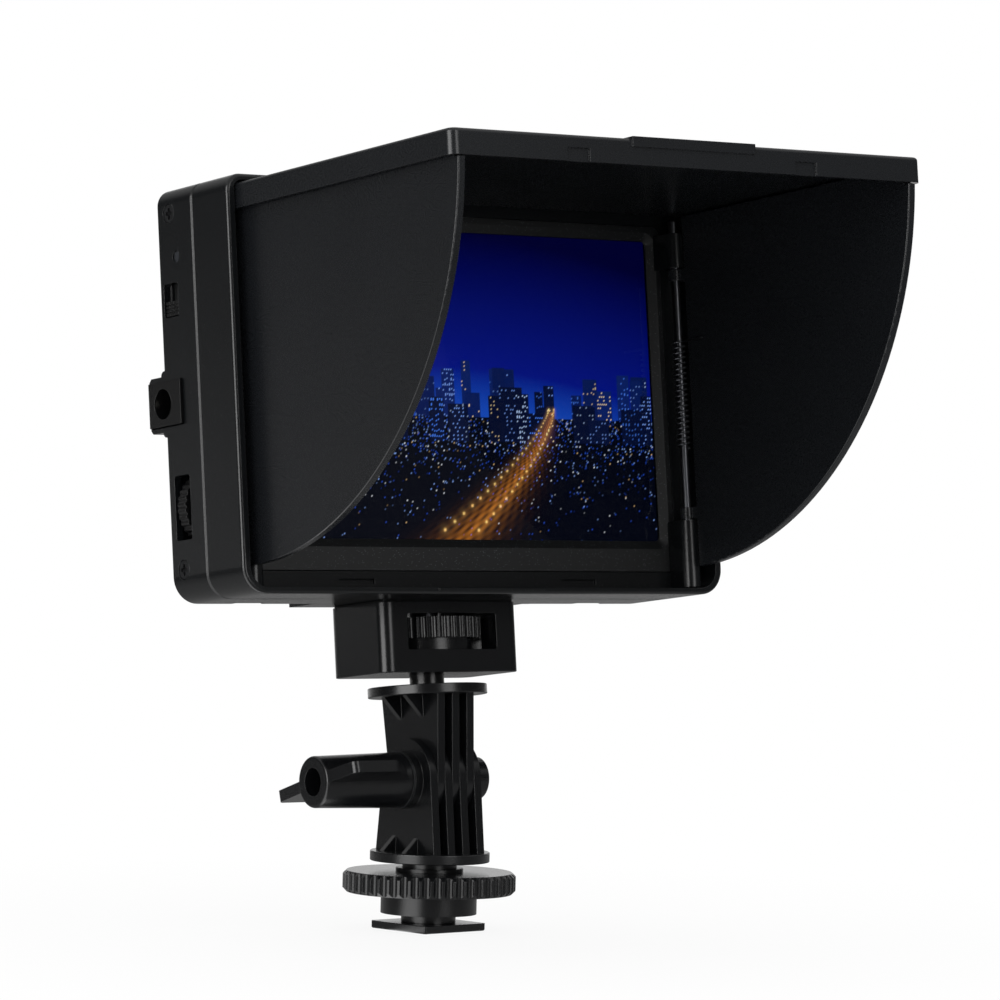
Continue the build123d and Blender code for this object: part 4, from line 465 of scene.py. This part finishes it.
def paint_buildings(canvas, x, z, chance, count, heights, widths, body, lamps):
    """Rows of flat-topped buildings: a dark body with a grid of windows, some of them lit."""
    columns = (x * PICTURE_GRID[0]).astype(int)
    levels = (z * PICTURE_GRID[1]).astype(int)
    for _ in range(count):
        centre, width, height = chance.random(), chance.uniform(*widths), chance.uniform(*heights)
        inside = (np.abs(x - centre) < width / 2) & (z < HORIZON + height) & (z > HORIZON - 0.1)
        shade = chance.uniform(0.7, 1.3)
        canvas[inside] = np.array(linear(body)[:3]) * shade
        lamp = np.array(linear(lamps[chance.integers(len(lamps))])[:3])
        across, up = int(chance.integers(2, 4)), int(chance.integers(3, 5))
        panes = inside & (columns % across == 0) & (levels % up < up - 2)
        lit = panes & (chance.random(x.shape) < chance.uniform(0.05, 0.45))
        canvas[lit] = lamp * chance.uniform(0.35, 1.0)


def paint_ground(canvas, x, z, chance):
    """City below the horizon: small lights, crowded far off and sparse in the near parks."""
    ground = z < HORIZON - 0.02
    canvas[ground] = linear("#02040F")[:3]
    crowding = 0.12 + 3.2 * np.clip(z / HORIZON, 0, 1) ** 3
    for colour, share in (("#8FB4FF", 0.02), ("#E0B880", 0.005), ("#2450C8", 0.04), ("#F4F8FF", 0.008)):
        lit = ground & (chance.random(x.shape) < share * crowding)
        canvas[lit] = np.array(linear(colour)[:3]) * chance.uniform(0.15, 0.9, x.shape)[lit][:, None]


def avenue_middle(near):
    """Middle of the avenue across the picture; near runs from 0 at the horizon to 1 at the bottom."""
    return 0.74 - 0.24 * near ** 1.4


def paint_avenue(canvas, x, z):
    """A broad avenue in warm light, which narrows from the bottom to the horizon.

    Its glow falls off sideways as an exponential, and waves along and across it make the cars.
    Each lamp beside it is a round spot with a faint halo, both falling off with the square of
    the distance.
    """
    depth = np.clip((HORIZON - z) / HORIZON, 0, 1)
    half = 0.002 + 0.018 * depth
    offset = (x - avenue_middle(depth)) / half
    glow = np.exp(-0.35 * np.abs(offset) ** 1.3) * (depth > 0)
    cars = 0.55 + 0.45 * np.sin(34 / (depth + 0.12)) * np.cos(5 * offset)
    canvas += (glow * cars * 0.45)[..., None] * np.array(linear("#FF9A2E")[:3])
    for step in range(AVENUE_LAMPS):
        near = ((step + 1) / AVENUE_LAMPS) ** 1.8
        for side in (-1, 1):
            spot_x = avenue_middle(near) + side * (0.006 + 0.036 * near)
            spot_z = HORIZON * (1 - near) + 0.012 + 0.02 * near
            size = 0.0016 + 0.0026 * near
            spread = ((x - spot_x) * PICTURE_SIZE[0] / PICTURE_SIZE[1]) ** 2 + (z - spot_z) ** 2
            spot = np.exp(-spread / size**2) + 0.06 * np.exp(-spread / (4 * size) ** 2)
            canvas += spot[..., None] * np.array(linear("#FFC873")[:3]) * 1.4


def night_city():
    """Colours of a made-up city at night over the picture's grid, row by row from the bottom."""
    chance = np.random.default_rng(7)
    z, x = np.meshgrid(
        np.linspace(0, 1, PICTURE_GRID[1]), np.linspace(0, 1, PICTURE_GRID[0]), indexing="ij"
    )
    canvas = paint_sky(x, z)
    cool = ("#7FA8FF", "#B8D2FF", "#4C86FF", "#FFE2B0")
    paint_buildings(canvas, x, z, chance, 34, (0.03, 0.17), (0.02, 0.05), "#081A52", cool)
    paint_ground(canvas, x, z, chance)
    paint_buildings(canvas, x, z, chance, 26, (-0.02, 0.10), (0.02, 0.06), "#040C2A", cool)
    paint_avenue(canvas, x, z)
    return np.clip(canvas, 0, 1)


def display_picture():
    """Flat grid just inside the cover glass, coloured point by point."""
    colours = night_city()
    rows, columns = colours.shape[:2]
    z, x = np.meshgrid(
        PICTURE_BOTTOM + PICTURE_SIZE[1] * np.linspace(0, 1, rows),
        PICTURE_SIZE[0] * np.linspace(-0.5, 0.5, columns), indexing="ij",
    )
    points = from_monitor(np.stack([x, np.full_like(x, PICTURE_DEPTH), z], axis=-1))
    piece = grid_piece("lit_picture", points)
    layer = piece.data.color_attributes.new("picture", "FLOAT_COLOR", "POINT")
    flat = np.concatenate([colours, np.ones((rows, columns, 1))], axis=-1)
    layer.data.foreach_set("color", flat.astype(np.float32).ravel())
    piece.data.materials.append(lit_picture("backlit picture"))
    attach(piece, "monitor")
    return piece


# ---- floor, light and camera -----------------------------------------------------
def away_from_camera():
    """Level direction from the camera to the object and beyond."""
    return Vector((sin(radians(CAMERA_TURN)), cos(radians(CAMERA_TURN)), 0.0))


def swung(angle, reach, height):
    """Place at that reach from the object, swung that many degrees to the right of the camera."""
    turn = radians(180 + CAMERA_TURN - angle)
    return (reach * sin(turn), reach * cos(turn), height)


def floor_gloss(tree, place):
    """What gloss sees of the floor.

    The sum of three levels: one grows with the distance behind the object, one as the heading
    nears the left softbox, and one fades with the distance from the foot.  The last two are
    painted light: pools of light on the floor, under the left softbox and round the foot.
    """
    behind = add(tree, "ShaderNodeVectorMath", {0: place, 1: away_from_camera()}, operation="DOT_PRODUCT")
    far = add(
        tree, "ShaderNodeMapRange",
        {"Value": behind.outputs["Value"], 1: FLOOR_FAR[0], 2: FLOOR_FAR[1], 3: DIM, 4: 1.0},
    )
    heading = add(tree, "ShaderNodeVectorMath", {0: place}, operation="NORMALIZE")
    towards_lamp = add(
        tree, "ShaderNodeVectorMath",
        {0: heading.outputs[0], 1: Vector(swung(LEFT_LAMP_TURN, 1, 0))}, operation="DOT_PRODUCT",
    )
    lamp_side = add(
        tree, "ShaderNodeMapRange",
        {"Value": towards_lamp.outputs["Value"], 1: LAMP_SECTOR[0], 2: LAMP_SECTOR[1],
         3: 0.0, 4: LAMP_FLOOR},
    )
    distance = add(tree, "ShaderNodeVectorMath", {0: place}, operation="LENGTH")
    close = add(
        tree, "ShaderNodeMapRange",
        {"Value": distance.outputs["Value"], 1: FLOOR_LIT[0], 2: FLOOR_LIT[1], 3: NEAR_FLOOR, 4: 0.0},
    )
    lit = add(tree, "ShaderNodeMath", {0: lamp_side.outputs[0], 1: close.outputs[0]}, operation="ADD")
    return add(tree, "ShaderNodeMath", {0: far.outputs[0], 1: lit.outputs[0]}, operation="ADD")


def floor_paper(name):
    """Matt white paper, evened out towards white where it is seen, so that only the shadow stays."""
    material, tree = new_material(name)
    matt = add(tree, "ShaderNodeBsdfPrincipled", {"Base Color": linear("#F2F2F2"), "Roughness": 0.9})
    rays = add(tree, "ShaderNodeLightPath")
    place = add(tree, "ShaderNodeTexCoord").outputs["Object"]
    strength = add(
        tree, "ShaderNodeMix",
        {"Factor": rays.outputs["Is Glossy Ray"], 2: 1.0, 3: floor_gloss(tree, place).outputs[0]},
        data_type="FLOAT",
    )
    white = add(
        tree, "ShaderNodeEmission", {"Color": linear("#FFFFFF"), "Strength": strength.outputs[0]}
    )
    distance = add(tree, "ShaderNodeVectorMath", {0: place}, operation="LENGTH")
    open_floor = add(
        tree, "ShaderNodeMapRange",
        {"Value": distance.outputs["Value"], 1: FLOOR_OPEN[0], 2: FLOOR_OPEN[1], 3: FOOT_WHITE, 4: 1.0},
    )
    camera_share = add(
        tree, "ShaderNodeMath", {0: rays.outputs["Is Camera Ray"], 1: open_floor.outputs[0]},
        operation="MULTIPLY",
    )
    share = add(
        tree, "ShaderNodeMath", {0: camera_share.outputs[0], 1: rays.outputs["Is Glossy Ray"]},
        operation="MAXIMUM",
    )
    shader = add(
        tree, "ShaderNodeMixShader", {0: share.outputs[0], 1: matt.outputs[0], 2: white.outputs[0]}
    )
    finish_surface(tree, shader)
    return material


def pale_floor():
    """Plain pale floor at the foot."""
    side = (-FLOOR_HALF, FLOOR_HALF)
    corners = np.array([[(x, y, 0.0) for x in side] for y in side])
    floor = grid_piece("floor", corners)
    floor.data.materials.append(floor_paper("matt white paper"))


def room_gloss(tree):
    """What gloss sees of the room: white behind the object, pale overhead and dim in front.

    The larger of two levels: one grows towards straight behind the object, one with the height.
    """
    direction = add(tree, "ShaderNodeTexCoord").outputs["Generated"]
    behind = add(
        tree, "ShaderNodeVectorMath", {0: direction, 1: away_from_camera()}, operation="DOT_PRODUCT"
    )
    level = add(
        tree, "ShaderNodeMapRange",
        {"Value": behind.outputs["Value"], 1: ROOM_BEHIND[0], 2: ROOM_BEHIND[1], 3: DIM, 4: 1.0},
    )
    height = add(tree, "ShaderNodeSeparateXYZ", {"Vector": direction})
    above = add(
        tree, "ShaderNodeMapRange",
        {"Value": height.outputs["Z"], 1: ROOM_ABOVE[0], 2: ROOM_ABOVE[1], 3: 0.0, 4: OVERHEAD},
    )
    return add(tree, "ShaderNodeMath", {0: level.outputs[0], 1: above.outputs[0]}, operation="MAXIMUM")


def studio_world():
    """Pale room: white all round for the camera, and soft from all sides for matt surfaces."""
    world = bpy.data.worlds.new("studio")
    world.use_nodes = True
    bpy.context.scene.world = world
    tree = world.node_tree
    tree.nodes.clear()
    rays = add(tree, "ShaderNodeLightPath")
    seen = add(
        tree, "ShaderNodeMath",
        {0: rays.outputs["Is Camera Ray"], 1: rays.outputs["Is Transmission Ray"]}, operation="MAXIMUM",
    )
    plain = add(tree, "ShaderNodeMix", {"Factor": seen.outputs[0], 2: AMBIENT, 3: 1.0}, data_type="FLOAT")
    strength = add(
        tree, "ShaderNodeMix",
        {"Factor": rays.outputs["Is Glossy Ray"], 2: plain.outputs[0], 3: room_gloss(tree).outputs[0]},
        data_type="FLOAT",
    )
    back = add(
        tree, "ShaderNodeBackground", {"Color": linear("#FFFFFF"), "Strength": strength.outputs[0]}
    )
    add(tree, "ShaderNodeOutputWorld", {"Surface": back.outputs[0]})


def softbox(name, turn, size, power):
    """Upright area lamp, `turn` degrees to the right of the camera, that looks at the object.

    It only draws its bright shape on glossy surfaces; the room lights the matt ones.
    """
    lamp = bpy.data.lights.new(name, "AREA")
    lamp.shape = "RECTANGLE"
    lamp.size, lamp.size_y = size[0] * MM, size[1] * MM
    lamp.energy = power
    stand = bpy.data.objects.new(name, lamp)
    place = Vector(swung(turn, LAMP_REACH, LAMP_HEIGHT))
    facing = (Vector(OBJECT_MIDDLE) - place).to_track_quat("-Z", "Y").to_matrix().to_4x4()
    stand.matrix_world = Matrix.Translation(place * MM) @ facing
    stand.visible_diffuse = False
    bpy.context.scene.collection.objects.link(stand)


def camera():
    """Long-lens camera at the object's left, a little below the screen's middle."""
    data = bpy.data.cameras.new("camera")
    data.lens, data.sensor_width = CAMERA_LENS, CAMERA_SENSOR
    data.clip_start, data.clip_end = 0.05, 20.0
    body = bpy.data.objects.new("camera", data)
    turn = Matrix.Rotation(-radians(CAMERA_TURN), 4, "Z")
    pitch = Matrix.Rotation(radians(90 + CAMERA_PITCH), 4, "X")
    roll = Matrix.Rotation(-radians(CAMERA_ROLL), 4, "Z")
    body.matrix_world = Matrix.Translation(Vector(CAMERA_PLACE) * MM) @ turn @ pitch @ roll
    bpy.context.scene.collection.objects.link(body)
    bpy.context.scene.camera = body


dress_nodes()
display_picture()
for wing in ("left", "right"):
    wing_spring(wing)
pale_floor()
studio_world()
softbox("left softbox", LEFT_LAMP_TURN, LEFT_LAMP_SIZE, LEFT_LAMP_POWER)
softbox("right softbox", RIGHT_LAMP_TURN, RIGHT_LAMP_SIZE, RIGHT_LAMP_POWER)
camera()
bpy.context.scene.view_settings.view_transform = "Standard"
